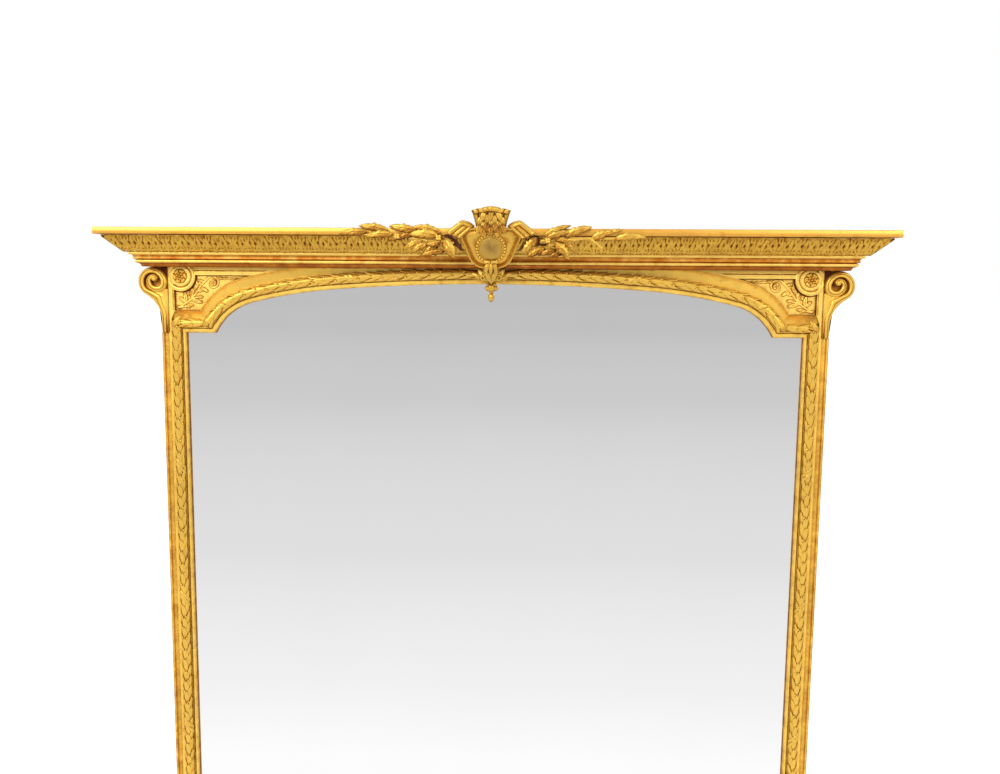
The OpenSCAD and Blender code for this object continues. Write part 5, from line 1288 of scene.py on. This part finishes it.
# the husk's stem, seen between its leaves, is painted in half shade
parts = [shells(tube(stem + [0.01, 0, 0], np.interp(t, [0, 2, 5], [7.5, 6.5, 7.0]), 14), 0.55)]
# side leaves: base x, z, tip x, z, width, depth in front, and painted shade (dull) added to the blade's
for x, z, tip_x, tip_z, wide, out, dull in ((5, 128, 31, 155, 15, 112, -.15), (10, 134, 48, 147, 14, 96, .0),
                                            (4, 142, 21, 162, 9, 124, .3), (8, 129, 40, 136, 12, 88, .1)):
    for side in (-1, 1):
        length = np.hypot(tip_x - x, tip_z - z)
        skin, tone = blade(length, wide, 3.4, rows=14, across=9, teeth=0.15, bow=3.5, bend=2)
        skin = turned(skin, np.degrees(np.arctan2(tip_x - x, tip_z - z))) * [side, 1, 1]
        parts.append(shells(skin + [side * x, -out, shoulder_z + z], np.clip(tone + dull, 0, 1), ends=False))
for x, z, angle, lean_back, long, wide, out in (
        (0, 150, 180, -38, 36, 18, 132), (-10, 160, 170, -26, 38, 16, 148),
        (10.5, 160, 190, -26, 38, 16, 148), (-5, 171, 196, -8, 28, 13, 168),
        (6, 171, 165, -8, 28, 13, 167), (0.5, 170, 181, -10, 30, 11, 170.5)):
    skin, tone = blade(long, wide, 3.2, rows=20, across=9, teeth=0.3, bow=2.5)
    skin = turned(skin, angle, lean_back) + [x, -out, shoulder_z + z]
    parts.append(shells(skin, np.clip(tone * 0.9 - 0.05, 0, 1), ends=False))
for side in (-1, 1):
    tie = np.array([[2, -172, 168.5], [8, -173, 170], [14, -171, 168]]) * [side, 1, 1] + [0, 0, shoulder_z]
    parts.append(shells(tube(tie, [3.6, 3.4, 2.6]), 0.0))
    scroll = np.concatenate([[[28, 153], [19, 148], [11.5, 142]], curl(17, 135, 7.5, 1.5, 150, -330, 26)])
    scroll = stacked(side * scroll[:, 0], -122.0, scroll[:, 1] + shoulder_z)
    parts.append(shells(tube(scroll, np.linspace(3.0, 2.0, len(scroll))), 0.05))
carve("husk_leaves", parts, ["pendant_husk"], crest_gold, 50)
drop_y = -(husk_seat + 7)
core = [(0.01, drop_y, shoulder_z + 128), (0, drop_y, shoulder_z + 105), (0, drop_y, shoulder_z + 90)]
parts = [ball([x, -(husk_seat + out), shoulder_z + z], r, -0.05, tall) for x, z, r, out, tall in (
    (0.5, 127, 5.6, 8, 1), (-9.2, 111, 5.8, 6, 1.1), (9.4, 111, 5.8, 6, 1.1), (-0.6, 113, 9.4, 10, 1.12),
    (-6, 120, 5.4, 8, 1), (6.4, 120, 5.4, 8, 1), (-0.6, 105, 6.2, 8, 0.9), (-0.8, 90.6, 7.2, 9, 1.55))]
# the drop's core, seen between the berries, is painted in shade
parts.append(shells(tube(core, [3.4, 3.2, 3.6]), 0.7))
carve("berry_drop", parts, ["pendant_drop"], crest_gold, 50)

# ---- Glass ----
# One flat silvered plate in the rebate behind the mouldings, held from behind by the glazing
# blocks.
glass = bpy.data.materials.new("silvered_glass")
tree = nodes_of(glass)
at = put(tree, "ShaderNodeTexCoord").outputs["Object"]
cloud = noise(tree, at, 3.0, 3.0)
tone = ramp(tree, cloud, (0.35, (0.895, 0.90, 0.895)), (0.7, (0.91, 0.912, 0.91)))
surface(tree, tone, remap(tree, cloud, to_high=0.02), 1.0)


def dress(names, material):
    """Gives CAD nodes that keep their shape a finish."""
    for name in names:
        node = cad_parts[name]
        for k in range(max(len(node.data.materials), 1)):
            if len(node.data.materials) > k:
                node.data.materials[k] = material
            else:
                node.data.materials.append(material)


dress(["mirror_plate"], glass)

# ---- Carcass, boards and plinth ----
# Pine stiles and rails lapped at the corners, the boards of the back, the blocks and the top board,
# all bare and darkened with age; the plinth under the bottom moulding is gilded.
def pine(name, light, dark, scale=14):
    """Softwood: growth rings stretched along z, with fine grain, knots' shadow and dirt."""
    m = bpy.data.materials.new(name)
    tree = nodes_of(m)
    at = put(tree, "ShaderNodeTexCoord").outputs["Object"]
    along = put(tree, "ShaderNodeMapping", [("Vector", at)], Scale=(scale, scale, 1.1)).outputs[0]
    finer = put(tree, "ShaderNodeMapping", [("Vector", at)], Scale=(420, 420, 9)).outputs[0]
    rings = noise(tree, along, 2.2, 6.0, Distortion=0.8)
    pores = noise(tree, finer, 1.0, 3.0)
    dirt = ramp(tree, noise(tree, at, 5.0, 6.0), (0.3, 0.55), (0.65, 1.0))
    tone = mixed(tree, 0.55, ramp(tree, rings, (0.35, light), (0.62, dark)), dirt, "MULTIPLY")
    rough = remap(tree, pores, to_low=0.62, to_high=0.85)
    surface(tree, tone, rough, 0.0, maths(tree, "ADD", rings, pores), 0.3)
    return m


dress(["left_stile", "right_stile", "head_rail", "bottom_rail", "corner_blocks", "cornice_ground",
       "top_board", "glazing_blocks"], pine("aged_pine", (0.52, 0.34, 0.17), (0.36, 0.21, 0.09)))
dress(["backboard_1", "backboard_2", "backboard_3", "backboard_4"],
      pine("backboard_pine", (0.40, 0.26, 0.14), (0.25, 0.15, 0.07), 14 * 0.6))
dress(["plinth_board", "left_plinth_block", "right_plinth_block"], flat_gold)

# ---- Hangers and screws ----
# A steel strap with its ring on each side of the back, and countersunk screws, dull and spotted
# with age.
steel = bpy.data.materials.new("dull_steel")
tree = nodes_of(steel)
at = put(tree, "ShaderNodeTexCoord").outputs["Object"]
spots = noise(tree, at, 240.0, 5.0)
tone = ramp(tree, spots, (0.42, (0.46, 0.45, 0.43)), (0.66, (0.22, 0.13, 0.08)))
surface(tree, tone, remap(tree, spots, 0.3, 0.7, 0.28, 0.6), 0.9, spots, 0.2, 0.0003)
dress(["left_hanger_strap", "right_hanger_strap", "left_hanger_ring", "right_hanger_ring", "hanger_screws",
       "backboard_screws"], steel)
